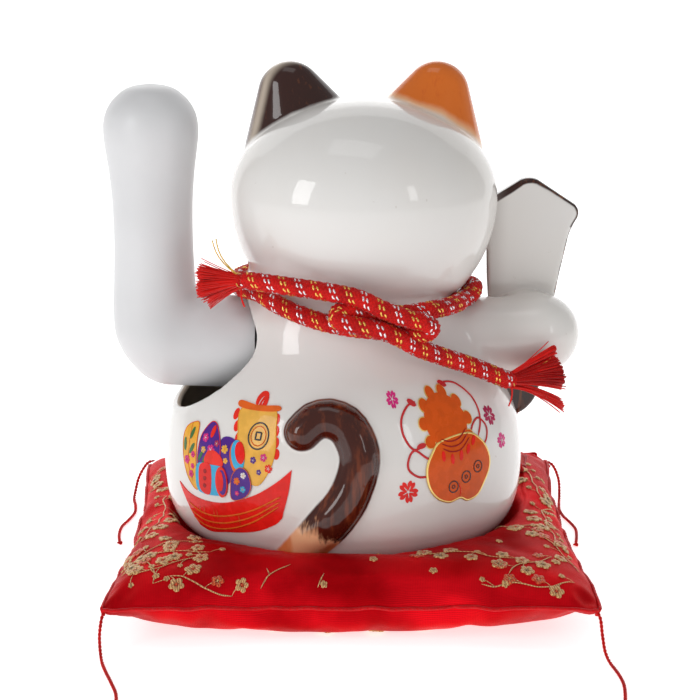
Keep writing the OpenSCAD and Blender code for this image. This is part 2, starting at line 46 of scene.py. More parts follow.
from bpy.props import FloatProperty, FloatVectorProperty, IntProperty
from mathutils import Vector, geometry

bl_info = {
    "name": "Beckoning cat on a cushion",
    "version": (1, 0, 0),
    "blender": (4, 5, 0),
    "location": "View3D > Sidebar > Cat",
    "description": "Dresses the packed model of a waving cat: glaze, transfers, collar, cushion and cords",
    "category": "Object",
}

MM = 0.001


# ---- Sizes and colours that a user would change ----

def colour(name, description, default):
    return FloatVectorProperty(name=name, description=description, default=default,
                               subtype="COLOR", size=3, min=0, max=1)


def length(name, description, default):
    return FloatProperty(name=name, description=description, default=default, unit="LENGTH", precision=4)


class GlazeLook(bpy.types.PropertyGroup):
    """The cast body and what is painted on it."""
    white: colour("White", "Glaze over the body", (0.78, 0.765, 0.745))
    brown: colour("Brown", "Left ear and tail", (0.035, 0.010, 0.007))
    tan: colour("Tan", "Reddish streaks in the brown", (0.30, 0.085, 0.02))
    orange: colour("Orange", "Right ear and foot of the tail", (0.68, 0.15, 0.012))
    peach: colour("Peach", "Where the orange fades out", (0.82, 0.46, 0.25))
    biscuit: colour("Biscuit", "Unglazed clay inside", (0.62, 0.52, 0.42))
    wall: length("Wall", "Thickness of the casting", 0.0045)
    voxel: FloatProperty(name="Voxel", description="Cell of the casting's mesh, in millimetres",
                         default=2.5, min=1.5, max=4)


class ArmLook(bpy.types.PropertyGroup):
    """The moulded waving arm."""
    white: colour("White", "Moulded plastic", (0.70, 0.70, 0.712))
    wall: length("Wall", "Thickness of the shells", 0.0018)


class CushionLook(bpy.types.PropertyGroup):
    """The sewn cushion."""
    red: colour("Red", "Satin ground", (0.70, 0.003, 0.008))
    gold: colour("Gold", "Woven gold figures", (0.80, 0.53, 0.22))
    blossom: colour("Blossom", "Woven orange-red blossoms", (0.78, 0.12, 0.03))
    pressure: FloatProperty(name="Pressure", description="Push of the wadding on the panels", default=3.0)
    slack: FloatProperty(name="Slack", description="Spare cloth that gives wrinkles", default=0.045)
    frames: IntProperty(name="Frames", description="Steps of the simulation", default=34)
    cells: IntProperty(name="Cells", description="Cells across a panel", default=64)


class CordLook(bpy.types.PropertyGroup):
    """Collar, strings and tassels."""
    red: colour("Red", "Silk and cord", (0.80, 0.014, 0.010))
    deep: colour("Deep red", "Between the strands", (0.30, 0.004, 0.006))
    gold: colour("Gold", "Metallic gold thread", (0.95, 0.62, 0.14))
    silver: colour("Silver", "Metallic silver thread", (0.90, 0.90, 0.93))
    braid_d: length("Braid", "Diameter of the collar cord", 0.010)
    string_d: length("String", "Diameter of a corner string", 0.002)
    plaque_d: length("Plaque cord", "Diameter of the cord on the plaque", 0.0032)


class StageLook(bpy.types.PropertyGroup):
    """Camera, floor and light."""
    back: length("Distance", "Camera behind the cat", 1.031)
    high: length("Height", "Camera above the table", 0.391)
    pitch: FloatProperty(name="Pitch", description="Camera looks down by", default=math.radians(14.4),
                         subtype="ANGLE")
    lens: FloatProperty(name="Lens", description="Focal length in millimetres", default=97.9)
    floor: colour("Floor", "Table top", (0.90, 0.90, 0.90))
    sky: FloatProperty(name="Fill", description="Strength of the white surroundings", default=0.42)
    tent: FloatProperty(name="Tent", description="Own light of the paper sweep", default=0.68)
    boxes: FloatProperty(name="Boxes", description="Strength of the soft boxes", default=1.0)


def look(name):
    """One of the PropertyGroups, as registered on the scene."""
    return getattr(bpy.context.scene, "cat_" + name)


# ---- Materials ----

class Sock:
    """A shader socket that takes Python's arithmetic."""

    def __init__(self, paint, out):
        self.paint = paint
        self.out = out

    def maths(self, operation, *values):
        return self.paint.node("Math", {"operation": operation}, dict(enumerate(values)))

    def __add__(self, other):
        return self.maths("ADD", self, other)

    def __radd__(self, other):
        return self.maths("ADD", other, self)

    def __sub__(self, other):
        return self.maths("SUBTRACT", self, other)

    def __rsub__(self, other):
        return self.maths("SUBTRACT", other, self)

    def __mul__(self, other):
        return self.maths("MULTIPLY", self, other)

    def __rmul__(self, other):
        return self.maths("MULTIPLY", other, self)

    def step(self, low, high):
        """0 below low, 1 above high, smooth between."""
        settings = {"interpolation_type": "SMOOTHSTEP"}
        return self.paint.node("MapRange", settings, {0: self, 1: low, 2: high, 3: 0.0, 4: 1.0})


class Paint:
    """A material under construction."""

    def __init__(self, name, **constants):
        self.mat = bpy.data.materials.new(name)
        self.mat.use_nodes = True
        self.tree = self.mat.node_tree
        self.shader = self.tree.nodes["Principled BSDF"]
        for socket, value in constants.items():
            self.set(socket.replace("_", " "), value)

    def node(self, kind, settings=None, inputs=None, out=0):
        node = self.tree.nodes.new("ShaderNode" + kind)
        for key, value in (settings or {}).items():
            setattr(node, key, value)
        for key, value in (inputs or {}).items():
            self.feed(node.inputs[key], value)
        return Sock(self, node.outputs[out])

    def feed(self, socket, value):
        if isinstance(value, Sock):
            self.tree.links.new(value.out, socket)
        elif socket.type == "RGBA" and len(value) == 3:
            socket.default_value = (*value, 1)
        else:
            socket.default_value = value

    def set(self, socket, value):
        self.feed(self.shader.inputs[socket], value)

    def mix(self, factor, a, b):
        """Colour a, or b where factor is 1."""
        return self.node("Mix", {"data_type": "RGBA"}, {0: factor, 6: a, 7: b}, out=2)

    def place(self, scale=(1, 1, 1)):
        at = self.node("TexCoord", out=3)
        return self.node("Mapping", None, {"Vector": at, "Scale": scale})

    def noise(self, scale, detail=3, stretch=(1, 1, 1)):
        inputs = {"Vector": self.place(stretch), "Scale": scale, "Detail": detail}
        return self.node("TexNoise", None, inputs)

    def wave(self, at, direction, **inputs):
        """Rows of thread along one direction."""
        settings = {"wave_type": "BANDS", "bands_direction": direction}
        return self.node("TexWave", settings, {"Vector": at, **inputs}, out=1)

    def value(self, attribute):
        return self.node("Attribute", {"attribute_name": attribute}, out=2)

    def bump(self, height, strength, distance):
        normal = self.node("Bump", None, {"Strength": strength, "Distance": distance, "Height": height})
        self.set("Normal", normal)


MADE = {}


def once(make):
    """Keeps the material that a function makes, so that pieces share it."""
    def kept(*args):
        key = (make.__name__, *args)
        if key not in MADE:
            MADE[key] = make(*args)
        return MADE[key]
    return kept


@once
def satin_moulding(name, tint, rough):
    """Moulded plastic with a fine skin and faint mottling."""
    paint = Paint(name, Roughness=rough, Specular_IOR_Level=0.45)
    cloud = paint.noise(14, 4)
    dark = tuple(0.94 * c for c in tint)
    paint.set("Base Color", paint.mix(cloud.step(0.35, 0.65), dark, tint))
    paint.set("Roughness", rough + 0.08 * cloud)
    paint.bump(paint.noise(1500, 2), 0.10, 0.0002)
    return paint.mat


@once
def bare_metal(name, tint, rough, along):
    """Turned or pressed metal, with fine marks along one axis."""
    paint = Paint(name, Metallic=1.0)
    stretch = tuple(0.06 if i == along else 1.0 for i in range(3))
    grain = paint.noise(1800, 3, stretch)
    stain = paint.noise(60, 4)
    dark = tuple(0.72 * c for c in tint)
    paint.set("Base Color", paint.mix(stain.step(0.35, 0.7), tint, dark))
    paint.set("Roughness", rough + 0.22 * grain + 0.1 * stain)
    paint.bump(grain, 0.2, 0.00015)
    return paint.mat


@once
def soft_matter(name, tint, scale):
    """Foam, rubber or wadding."""
    paint = Paint(name, Specular_IOR_Level=0.25)
    cells = paint.node("TexVoronoi", None, {"Vector": paint.place(), "Scale": scale})
    dark = tuple(0.6 * c for c in tint)
    paint.set("Base Color", paint.mix(cells.step(0.1, 0.7), dark, tint))
    paint.set("Roughness", 0.75 + 0.15 * cells)
    paint.bump(cells, 0.5, 0.0006)
    return paint.mat


@once
def enamel(name, tint):
    """Fired-on colour under the glaze, with the slight unevenness of a transfer."""
    gloss = 0.22
    paint = Paint(name, Coat_Weight=0.3, Coat_Roughness=0.05, Roughness=gloss, Specular_IOR_Level=0.1)
    cloud = paint.noise(160, 3)
    dark = tuple(0.86 * c for c in tint)
    paint.set("Base Color", paint.mix(cloud.step(0.3, 0.7), dark, tint))
    paint.set("Roughness", gloss + 0.1 * cloud)
    paint.bump(cloud, 0.15, 0.0002)
    return paint.mat


@once
def gilding(name, tint):
    """Bright gold line, slightly raised."""
    paint = Paint(name, Metallic=0.85, Coat_Weight=0.4)
    cloud = paint.noise(300, 3)
    dark = tuple(0.8 * c for c in tint)
    paint.set("Base Color", paint.mix(cloud, dark, tint))
    paint.set("Roughness", 0.25 + 0.15 * cloud)
    return paint.mat


@once
def silk(name, tint, dark, sheen=0.4):
    """Spun thread: shade between the strands, fine fibre and sheen."""
    paint = Paint(name, Sheen_Weight=0.3 * sheen, Sheen_Roughness=0.35, Specular_IOR_Level=0.12)
    fibre = paint.noise(1400, 3)
    patch = paint.noise(90, 3)
    shade = fibre.step(0.25, 0.75) * 0.6 + patch.step(0.3, 0.7) * 0.4
    paint.set("Base Color", paint.mix(shade, dark, tint))
    paint.set("Roughness", 0.42 + 0.2 * fibre)
    paint.bump(fibre, 0.35, 0.0003)
    return paint.mat


@once
def tinsel(name, tint):
    """Flat metallic thread."""
    paint = Paint(name, Metallic=1.0)
    glint = paint.noise(900, 2)
    dark = tuple(0.7 * c for c in tint)
    paint.set("Base Color", paint.mix(glint.step(0.3, 0.6), dark, tint))
    paint.set("Roughness", 0.16 + 0.25 * glint)
    paint.bump(glint, 0.4, 0.0002)
    return paint.mat


@once
def satin_ground():
    """Red satin: floats of weft at thread scale, with slow drifts of colour."""
    cushion = look("cushion")
    paint = Paint("satin_ground", Metallic=0.45, Specular_IOR_Level=0.08, Anisotropic=0.45,
                  Specular_Tint=(1, 0.03, 0.03))
    at = paint.node("UVMap", {"uv_map": "cloth"})
    weft = paint.wave(at, "Y", **{"Scale": 130.0, "Distortion": 0.6, "Detail": 2.0, "Detail Scale": 3.0})
    warp = paint.wave(at, "X", Scale=95.0, Distortion=0.4, Detail=1.0)
    drift = paint.noise(22, 4)
    deep = tuple(0.52 * c for c in cushion.red)
    bright = (min(1, cushion.red[0] * 1.25), cushion.red[1] * 2.2, cushion.red[2] * 1.9)
    ground = paint.mix(drift.step(0.3, 0.72), deep, bright)
    thread = weft * 0.7 + warp * 0.3
    paint.set("Base Color", paint.mix(thread * 0.55 + 0.45, deep, ground))
    paint.set("Roughness", 0.26 + 0.16 * thread)
    paint.bump(thread, 0.25, 0.00025)
    return paint.mat


@once
def gold_weave(name, tint):
    """Gold or coloured weft floats of a brocade figure."""
    paint = Paint(name, Metallic=0.55, Sheen_Weight=0.3)
    row = paint.wave(paint.place(), "DIAGONAL", Scale=420.0, Distortion=1.5, Detail=2.0)
    dark = (0.55 * tint[0], 0.38 * tint[1], 0.35 * tint[2])
    paint.set("Base Color", paint.mix(row.step(0.1, 0.7), dark, tint))
    paint.set("Roughness", 0.34 + 0.2 * row)
    paint.bump(row, 0.5, 0.0003)
    return paint.mat


GREY_MAUVE = (0.13, 0.085, 0.085)
CREAM = (0.50, 0.42, 0.34)
LIGHT_ORANGE = (0.70, 0.20, 0.06)
BURNT_ORANGE = (0.55, 0.085, 0.008)
DEEP_BROWN = (0.050, 0.0085, 0.004)
RED_BROWN = (0.24, 0.050, 0.014)
PAINTED_SHADE_GREY = (0.33, 0.28, 0.26)
# Painted shade on the plaque's back, beside the head
BLUSH = (0.85, 0.30, 0.26)
SPECK = (0.45, 0.38, 0.32)
GLAZE_COAT = 0.75


def left_ear_paint(paint, skin, brush, fine):
    """Brown, sprayed out to cream at its rim and grey-mauve past it."""
    tone = look("glaze")
    rim = paint.value("ear_left_rim")
    brown = paint.mix((fine * 0.6 + brush * 0.4).step(0.56, 0.72) * 0.4, tone.brown, tone.tan)
    brown = paint.mix((rim + 2 * (brush - 0.5)).step(-4.5, -0.5), brown, CREAM)
    brown = paint.mix(rim.step(-0.2, 2.6), brown, GREY_MAUVE)
    return paint.mix((paint.value("ear_left") + 2 * (brush - 0.5)).step(-1.2, 1.0), skin, brown)


def right_ear_paint(paint, skin, brush, fine):
    """Orange, sprayed out to a lighter tone at its rim and to peach at its foot."""
    tone = look("glaze")
    rim = paint.value("ear_right_rim")
    field = paint.value("ear_right")
    orange = paint.mix((rim + 3 * (brush - 0.5)).step(-4, 3) * 0.6, tone.orange, LIGHT_ORANGE)
    orange = paint.mix(fine.step(0.55, 0.75) * 0.35, orange, BURNT_ORANGE)
    orange = paint.mix((field + 5 * (brush - 0.5)).step(0.2, 4.5), tone.peach, orange)
    return paint.mix((field + 4 * (brush - 0.5)).step(-2.0, 1.6), skin, orange)


def tail_paint(paint, skin, brush, fine):
    """Brown above, broken with dry brush marks into orange below."""
    tone = look("glaze")
    run = paint.value("tail_run")
    side = paint.value("tail_side")
    streak = paint.noise(70, 4, (1, 1, 0.22))
    base = paint.mix(streak.step(0.46, 0.60) * 0.7, tone.peach, tone.orange)
    coat = paint.mix((streak * 0.7 + fine * 0.3).step(0.44, 0.62) * 0.75, DEEP_BROWN, RED_BROWN)
    ragged = run + 0.30 * (streak - 0.5) + 0.12 * (fine - 0.5) + 0.012 * side
    coat = paint.mix(ragged.step(0.715, 0.76), coat, base)
    return paint.mix((side + 0.8 * (brush - 0.5)).step(-0.4, 0.4), skin, coat)


def plaque_paint(paint, skin, brush, fine):
    """Brown along the top and the edges, and painted shade in grey on the back, darkest towards the head."""
    tone = look("glaze")
    edge = (paint.value("plaque_rim") + 1.0 * (brush - 0.5)).step(-0.5, 0.6)
    skin = paint.mix(edge, skin, paint.mix(fine.step(0.5, 0.7) * 0.5, tone.brown, tone.tan))
    # Painted shade: grey laid over the back where it turns towards the head
    return paint.mix(paint.value("plaque_painted_shade").step(-0.6, 1.2) * 0.5, skin, PAINTED_SHADE_GREY)


@once
def glaze():
    """White glaze, painted by fields kept on the mesh, and bare clay inside."""
    tone = look("glaze")
    paint = Paint("glaze", Coat_Weight=GLAZE_COAT, Coat_Roughness=0.025, Specular_IOR_Level=0.1)
    cloud = paint.noise(9, 4)
    warm = tuple(c * f for c, f in zip(tone.white, (0.975, 0.955, 0.935)))
    skin = paint.mix(cloud.step(0.35, 0.7), tone.white, warm)
    speck = paint.noise(230, 2).step(0.76, 0.80) * 0.25
    skin = paint.mix(speck, skin, SPECK)
    brush = paint.noise(55, 4, (1, 1, 0.35))
    fine = paint.noise(420, 3, (1, 1, 0.12))
    for painted in (left_ear_paint, right_ear_paint, tail_paint, plaque_paint):
        skin = painted(paint, skin, brush, fine)
    skin = paint.mix(paint.value("blush").step(0, 1) * 0.55, skin, BLUSH)
    inside = paint.value("depth").step(1.4, 2.2)
    clay = paint.mix(paint.noise(40, 4), tone.biscuit, tuple(0.75 * c for c in tone.biscuit))
    paint.set("Base Color", paint.mix(inside, skin, clay))
    paint.set("Roughness", 0.16 + 0.55 * inside + 0.05 * cloud)
    paint.set("Coat Weight", GLAZE_COAT - GLAZE_COAT * inside)
    paint.bump(cloud + 0.02 * brush, 0.10, 0.0015)
    return paint.mat


# ---- Meshes ----

def bend(a, b, c, d, t):
    """A smooth stretch from b to c, for t from 0 to 1, that leans on a and d."""
    return 0.5 * (2 * b + (c - a) * t + (2 * a - 5 * b + 4 * c - d) * t**2 + (3 * b - 3 * c + d - a) * t**3)


def smooth_path(points, step):
    """Points about one step apart on a smooth curve through the given ones."""
    points = np.asarray(points, float)
    ends = np.vstack([2 * points[0] - points[1], points, 2 * points[-1] - points[-2]])
    fine = []
    for a, b, c, d in zip(ends, ends[1:], ends[2:], ends[3:]):
        fine.append(bend(a, b, c, d, np.linspace(0, 1, 24, endpoint=False)[:, None]))
    fine = np.vstack(fine + [points[-1:]])
    run = np.r_[0, np.cumsum(np.linalg.norm(np.diff(fine, axis=0), axis=1))]
    count = max(2, int(round(run[-1] / step)))
    wanted = np.linspace(0, run[-1], count + 1)
    return np.column_stack([np.interp(wanted, run, fine[:, i]) for i in range(3)])


def path_length(path):
    return float(np.linalg.norm(np.diff(path, axis=0), axis=1).sum())


def cross_axes(path):
    """Two axes across the path at each point, carried along without twist."""
    ahead = np.gradient(path, axis=0)
    ahead /= np.linalg.norm(ahead, axis=1)[:, None] + 1e-12
    side = np.cross(ahead[0], (0.31, 0.17, 0.93))
    rows = []
    for direction in ahead:
        side = side - side.dot(direction) * direction
        side = side / np.linalg.norm(side)
        rows.append(side)
    side = np.array(rows)
    return side, np.cross(ahead, side)


def ring_quads(rows, sides):
    """Faces between rows of points, each row a closed ring."""
    quads = []
    for i in range(rows - 1):
        low, high = i * sides, (i + 1) * sides
        quads += [(low + k, low + (k + 1) % sides, high + (k + 1) % sides, high + k) for k in range(sides)]
    return quads


class Shape:
    """Collects surfaces for one mesh."""

    def __init__(self):
        self.verts = []
        self.faces = []
        self.slots = []
        self.count = 0

    def add(self, verts, faces, slot=0):
        self.verts.append(np.asarray(verts, float))
        self.faces += [tuple(i + self.count for i in face) for face in faces]
        self.slots += [slot] * len(faces)
        self.count += len(verts)

    def tube(self, path, radius, sides=8, slot=0, flat=1.0, axes=None):
        """A tube round a path; radius is one number or one for each point."""
        side, up = axes if axes is not None else cross_axes(path)
        turn = np.linspace(0, 2 * np.pi, sides, endpoint=False)
        wide = np.broadcast_to(np.asarray(radius, float), len(path))[:, None, None]
        across, over = np.cos(turn)[None, :, None], np.sin(turn)[None, :, None]
        ring = side[:, None] * across + flat * up[:, None] * over
        verts = (path[:, None] + wide * ring).reshape(-1, 3)
        faces = [(b, c, d, a) for a, b, c, d in ring_quads(len(path), sides)]
        last = (len(path) - 1) * sides
        faces.append(tuple(reversed(range(sides))))
        faces.append(tuple(last + k for k in range(sides)))
        self.add(verts, faces, slot)

    def ball(self, centre, radius, slot=0, rings=8, sides=12, squash=(1, 1, 1)):
        high = np.linspace(-np.pi / 2, np.pi / 2, rings + 1)[1:-1]
        turn = np.linspace(0, 2 * np.pi, sides, endpoint=False)
        verts = [(math.cos(h) * math.cos(t), math.cos(h) * math.sin(t), math.sin(h))
                 for h in high for t in turn]
        verts += [(0, 0, -1), (0, 0, 1)]
        low_pole = len(high) * sides
        last = low_pole - sides
        faces = ring_quads(len(high), sides)
        faces += [(low_pole, (k + 1) % sides, k) for k in range(sides)]
        faces += [(low_pole + 1, last + k, last + (k + 1) % sides) for k in range(sides)]
        self.add(np.asarray(centre) + radius * np.array(verts) * squash, faces, slot)

    def turned(self, line, slot=0, sides=48):
        """A line of (radius, height) turned about Z."""
        turn = np.linspace(0, 2 * np.pi, sides, endpoint=False)
        verts = [(r * math.cos(t), r * math.sin(t), z) for r, z in line for t in turn]
        self.add(verts, ring_quads(len(line), sides), slot)

    def make(self, name, materials, body, slot):
        mesh = bpy.data.meshes.new(name)
        mesh.from_pydata(np.vstack(self.verts).tolist(), [], self.faces)
        piece = bpy.data.objects.new(name, mesh)
        bpy.context.scene.collection.objects.link(piece)
        for material in materials:
            mesh.materials.append(material)
        mesh.polygons.foreach_set("material_index", self.slots)
        mesh.polygons.foreach_set("use_smooth", [True] * len(mesh.polygons))
        mesh.validate()
        mesh.update()
        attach(piece, body)
        return piece


def bend_by_angle(piece, degrees=35):
    """Smooth shading, with edges sharper than the angle kept crisp."""
    piece.data.set_sharp_from_angle(angle=math.radians(degrees))


# ---- Solid fields: distances in millimetres, less than 0 inside ----

def blend_min(a, b, k):
    h = np.clip(0.5 + 0.5 * (b - a) / k, 0, 1)
    return b * (1 - h) + a * h - k * h * (1 - h)


def blend_max(a, b, k):
    return -blend_min(-a, -b, k)


def rod(p, a, b, ra, rb):
    """Distance to the smooth hull of a ball at a and a ball at b."""
    a = np.asarray(a, float)
    line = np.asarray(b, float) - a
    long = np.sqrt(line.dot(line))
    along = (p - a) @ line / long
    away = np.sqrt(np.maximum(((p - a)**2).sum(axis=1) - along**2, 0))
    lean = (ra - rb) / long
    upright = math.sqrt(1 - lean**2)
    foot = along * upright - away * lean
    side = along * lean + away * upright - ra
    near_b = np.hypot(away, along - long) - rb
    return np.where(foot < 0, np.hypot(away, along) - ra, np.where(foot > long * upright, near_b, side))


def egg(p, centre, radii):
    q = (p - np.asarray(centre, float)) / np.asarray(radii, float)
    near = np.linalg.norm(q, axis=1)
    slope = np.linalg.norm(q / np.asarray(radii, float), axis=1)
    return near * (near - 1) / np.maximum(slope, 1e-6)


def polygon_distance(p, corners):
    """Signed distance in a plane to a closed outline, less than 0 inside."""
    corners = np.asarray(corners, float)
    best = np.full(len(p), 1e9)
    inside = np.zeros(len(p), bool)
    for a, b in zip(corners, np.roll(corners, -1, axis=0)):
        line = b - a
        t = np.clip((p - a) @ line / line.dot(line), 0, 1)
        best = np.minimum(best, np.linalg.norm(p - a - t[:, None] * line, axis=1))
        crosses = (a[1] > p[:, 1]) != (b[1] > p[:, 1])
        drop = np.where(b[1] == a[1], 1e-9, b[1] - a[1])
        inside ^= crosses & (p[:, 0] < a[0] + (p[:, 1] - a[1]) / drop * line[0])
    return np.where(inside, -best, best)


def near_only(field, p, low, high, far=30.0):
    """The field where p is in a box, and a large distance elsewhere."""
    in_box = np.all((p > low) & (p < high), axis=1)
    out = np.full(len(p), far)
    out[in_box] = field(p[in_box])
    return out


def gradient(field, p, h=0.15):
    steps = np.eye(3) * h
    return np.column_stack([field(p + s) - field(p - s) for s in steps]) / (2 * h)


def settle(field, p, turns=3):
    """Moves points onto the field's zero."""
    for _ in range(turns):
        g = gradient(field, p)
        p = p - np.clip(field(p), -2, 2)[:, None] * g / np.maximum((g * g).sum(axis=1), 0.05)[:, None]
    return p


def field_surface(field, low, high, voxel):
    """Quads over a field's zero surface, as points in millimetres and faces."""
    low = np.asarray(low, float)
    counts = [int(math.ceil((b - a) / voxel)) + 1 for a, b in zip(low, high)]
    values = np.empty(counts, np.float32)
    rows = np.arange(counts[1])[:, None] * voxel + low[1]
    heights = np.arange(counts[2])[None, :] * voxel + low[2]
    for i in range(counts[0]):
        x = np.full(counts[1] * counts[2], low[0] + i * voxel)
        y = np.broadcast_to(rows, (counts[1], counts[2])).ravel()
        z = np.broadcast_to(heights, (counts[1], counts[2])).ravel()
        values[i] = field(np.column_stack([x, y, z])).reshape(counts[1], counts[2])
    grid = openvdb.FloatGrid(background=30.0)
    grid.copyFromArray(values)
    points, quads = grid.convertToQuads(isovalue=0.0)
    points = np.asarray(points, float) * voxel + low
    return settle(field, points), np.asarray(quads)[:, ::-1]


# ---- The casting's form ----

AXIS = np.array([4.0, -8.0])
BODY_DEPTH = 0.87
BODY_LINE = np.array([[18.5, 79], [24, 88], [31, 95], [44, 100], [61, 101.5], [78, 100.5], [91, 98],
                      [106, 91], [116, 83], [128, 72], [140, 64.5], [152, 60.5], [162, 54]])
HEAD = (-7.5, -8.0, 212.0)
HEAD_R = (73.7, 64.0)
SKULL_UP = 54.0
JAW_DOWN = 75.0
EAR_FOOT = (30.6, 0, 232.7)
EAR_TIP = (40.3, 0, 267.2)
EAR_FOOT_R = 35.6
EAR_TIP_R = 17.8
EAR_Y = -19.0
EAR_LIP = 6.0
EAR_HOLLOW_FORWARD = 14.0
TAIL = [(24.5, 99), (18, 104.5), (9, 105.5), (0, 100), (-5, 86), (0, 68), (10, 53), (22, 40), (32, 28)]
TAIL_R = 10.4
SHOULDER_Z = 117.0
SHOULDER_DEEP = 35.2
SHOULDER_UP = 40.0
SHOULDER_DOWN = 21.0
SHOULDER_X = 46.0
ELBOW = (-106.5, -12, 133)
FOOT_X = 46.0


def eased(corners, cut):
    """A closed outline with its corners cut short twice."""
    for reach in (cut, 0.4 * cut):
        ring = np.asarray(corners, float)
        ahead = np.roll(ring, -1, axis=0) - ring
        part = np.minimum(0.4, reach / np.linalg.norm(ahead, axis=1))[:, None]
        corners = np.stack([ring + part * ahead, ring + (1 - part) * ahead], axis=1).reshape(-1, 2)
    return corners


PLAQUE = eased([(-101, 220.5), (-132, 200), (-125, 191), (-118, 158), (-110, 98), (-105, 85), (-92.5, 78),
                (-87.5, 88), (-84, 98), (-78, 158), (-77, 193), (-70, 201)], 4.0)
PLAQUE_Y = -33.0
PLAQUE_HALF = 4.5
PLAQUE_ROUND = 2.2
PLUG_R = 58.0


def body_radius(z):
    """The turned outline, rounded over its corners."""
    taps = [np.interp(z + d, BODY_LINE[:, 0], BODY_LINE[:, 1]) for d in (-5, -2.5, 0, 2.5, 5)]
    return sum(taps) / len(taps)


def torso(p):
    around = np.hypot(p[:, 0] - AXIS[0], (p[:, 1] - AXIS[1]) / BODY_DEPTH)
    side = (around - body_radius(p[:, 2])) * 0.9
    return blend_max(blend_max(side, 18.5 - p[:, 2], 5), p[:, 2] - 170, 4)


def head(p):
    upper = egg(p, HEAD, (*HEAD_R, SKULL_UP))
    lower = egg(p, HEAD, (*HEAD_R, JAW_DOWN))
    return np.where(p[:, 2] > HEAD[2], upper, lower)


def ear(p, side, shrink=0.0, forward=0.0, flatten=1.45):
    """A blunt cone, flattened from front to back; flatten 0 gives its outline seen from behind."""
    q = np.column_stack([side * (p[:, 0] - HEAD[0]), flatten * (p[:, 1] - EAR_Y + forward), p[:, 2]])
    return rod(q, EAR_FOOT, EAR_TIP, EAR_FOOT_R - shrink, EAR_TIP_R - shrink)


def ears(p):
    both = np.full(len(p), 30.0)
    for side in (-1, 1):
        form = ear(p, side)
        hollow = ear(p, side, shrink=EAR_LIP, forward=EAR_HOLLOW_FORWARD)
        both = np.minimum(both, blend_max(form, -hollow, 4))
    return both


def tail_line():
    """Middle of the tail, half sunk in the back."""
    flat = smooth_path([(x, 0, z) for x, z in TAIL], 4.0)
    reach = np.sqrt(np.maximum(0, body_radius(flat[:, 2])**2 - (flat[:, 0] - AXIS[0])**2))
    sunk_by = np.interp(np.linspace(0, 1, len(flat)), (0, 0.7, 1), (3, 4.5, 14.5))
    flat[:, 1] = AXIS[1] + BODY_DEPTH * reach - sunk_by
    return flat


TAIL_LINE = tail_line()
TAIL_RUN = np.linspace(0, 1, len(TAIL_LINE))
TAIL_SHAPE = TAIL_R * np.interp(TAIL_RUN, (0, 0.2, 0.5, 0.8, 1), (0.94, 1, 1.02, 1.18, 1.5))


def tail_near(p):
    """Distance to the tail's middle line, and how far along it, from 0 to 1."""
    best = np.full(len(p), 1e9)
    run = np.zeros(len(p))
    steps = len(TAIL_LINE) - 1
    for i in range(steps):
        a, line = TAIL_LINE[i], TAIL_LINE[i + 1] - TAIL_LINE[i]
        t = np.clip((p - a) @ line / line.dot(line), 0, 1)
        d = np.linalg.norm(p - a - t[:, None] * line, axis=1)
        closer = d < best
        best = np.where(closer, d, best)
        run = np.where(closer, (i + t) / steps, run)
    return best, run


def tail(p):
    best, run = tail_near(p)
    return best - np.interp(run, TAIL_RUN, TAIL_SHAPE)


def plaque(p):
    flat = polygon_distance(p[:, [0, 2]], PLAQUE) + PLAQUE_ROUND
    thick = np.abs(p[:, 1] - PLAQUE_Y) - PLAQUE_HALF + PLAQUE_ROUND
    outside = np.hypot(np.maximum(flat, 0), np.maximum(thick, 0))
    return outside + np.minimum(np.maximum(flat, thick), 0) - PLAQUE_ROUND


def holding_arm(p):
    upper = rod(p, (-40, -12, 130), ELBOW, 24, 20.5)
    fore = rod(p, ELBOW, (-98, -35, 141), 20.5, 15)
    paw = egg(p, (-96, -44, 147), (16.5, 13, 15))
    toes = np.minimum.reduce([egg(p, (x, -53, 150), (5.2, 6, 7)) for x in (-105, -96, -87)])
    return blend_min(blend_min(blend_min(upper, fore, 8), paw, 6), toes, 3)


def hind_foot(p, side):
    leg = egg(p, (AXIS[0] + side * FOOT_X, -80, 39), (25, 24, 19))
    toes = [egg(p, (AXIS[0] + side * 45 + x, -97, 31), (7, 9.5, 10)) for x in (-13, 0, 13)]
    return blend_min(leg, np.minimum.reduce(toes), 4)


def muzzle(p):
    cheeks = [egg(p, (HEAD[0] + side * 12, -70, 193), (17, 11, 12)) for side in (-1, 1)]
    nose = egg(p, (HEAD[0], -79, 200.5), (5.5, 4, 4))
    return blend_min(np.minimum(*cheeks), nose, 3)


def outer_form(p):
    form = blend_min(torso(p), head(p), 7)
    form = blend_min(form, near_only(ears, p, (-90, -60, 205), (75, 25, 295)), 2.5)
    form = blend_min(form, near_only(muzzle, p, (-50, -100, 165), (35, -40, 225)), 6)
    form = blend_min(form, near_only(holding_arm, p, (-145, -75, 90), (0, 40, 190)), 9)
    form = blend_min(form, near_only(tail, p, (-45, 20, 8), (60, 100, 142)), 2.5)
    for side in (-1, 1):
        form = blend_min(form, near_only(lambda q: hind_foot(q, side), p, (-90, -125, 5), (95, -30, 80)), 7)
    return blend_min(form, near_only(plaque, p, (-145, -60, 70), (-55, -10, 240)), 2.5)


def cavity(p):
    return blend_min(torso(p), head(p), 7) + look("glaze").wall / MM


def shoulder_cut(p):
    """The opening that the waving arm turns in: an ellipse along X."""
    up = p[:, 2] - SHOULDER_Z
    ring = np.hypot(p[:, 1] / SHOULDER_DEEP, up / np.where(up > 0, SHOULDER_UP, SHOULDER_DOWN))
    return np.maximum((ring - 1) * 32, SHOULDER_X - p[:, 0])


def casting(p):
    shell = blend_max(outer_form(p), -np.maximum(cavity(p), 22.5 - p[:, 2]), 1.2)
    shell = blend_max(shell, -shoulder_cut(p), 4.0)
    plug = np.hypot(p[:, 0] - AXIS[0], p[:, 1] - AXIS[1]) - PLUG_R
    return blend_max(shell, -np.maximum(plug, p[:, 2] - 40), 1.0)


def keep_value(mesh, name, values):
    layer = mesh.attributes.new(name, "FLOAT", "POINT")
    layer.data.foreach_set("value", np.asarray(values, np.float32))


UNPAINTED = -20.0


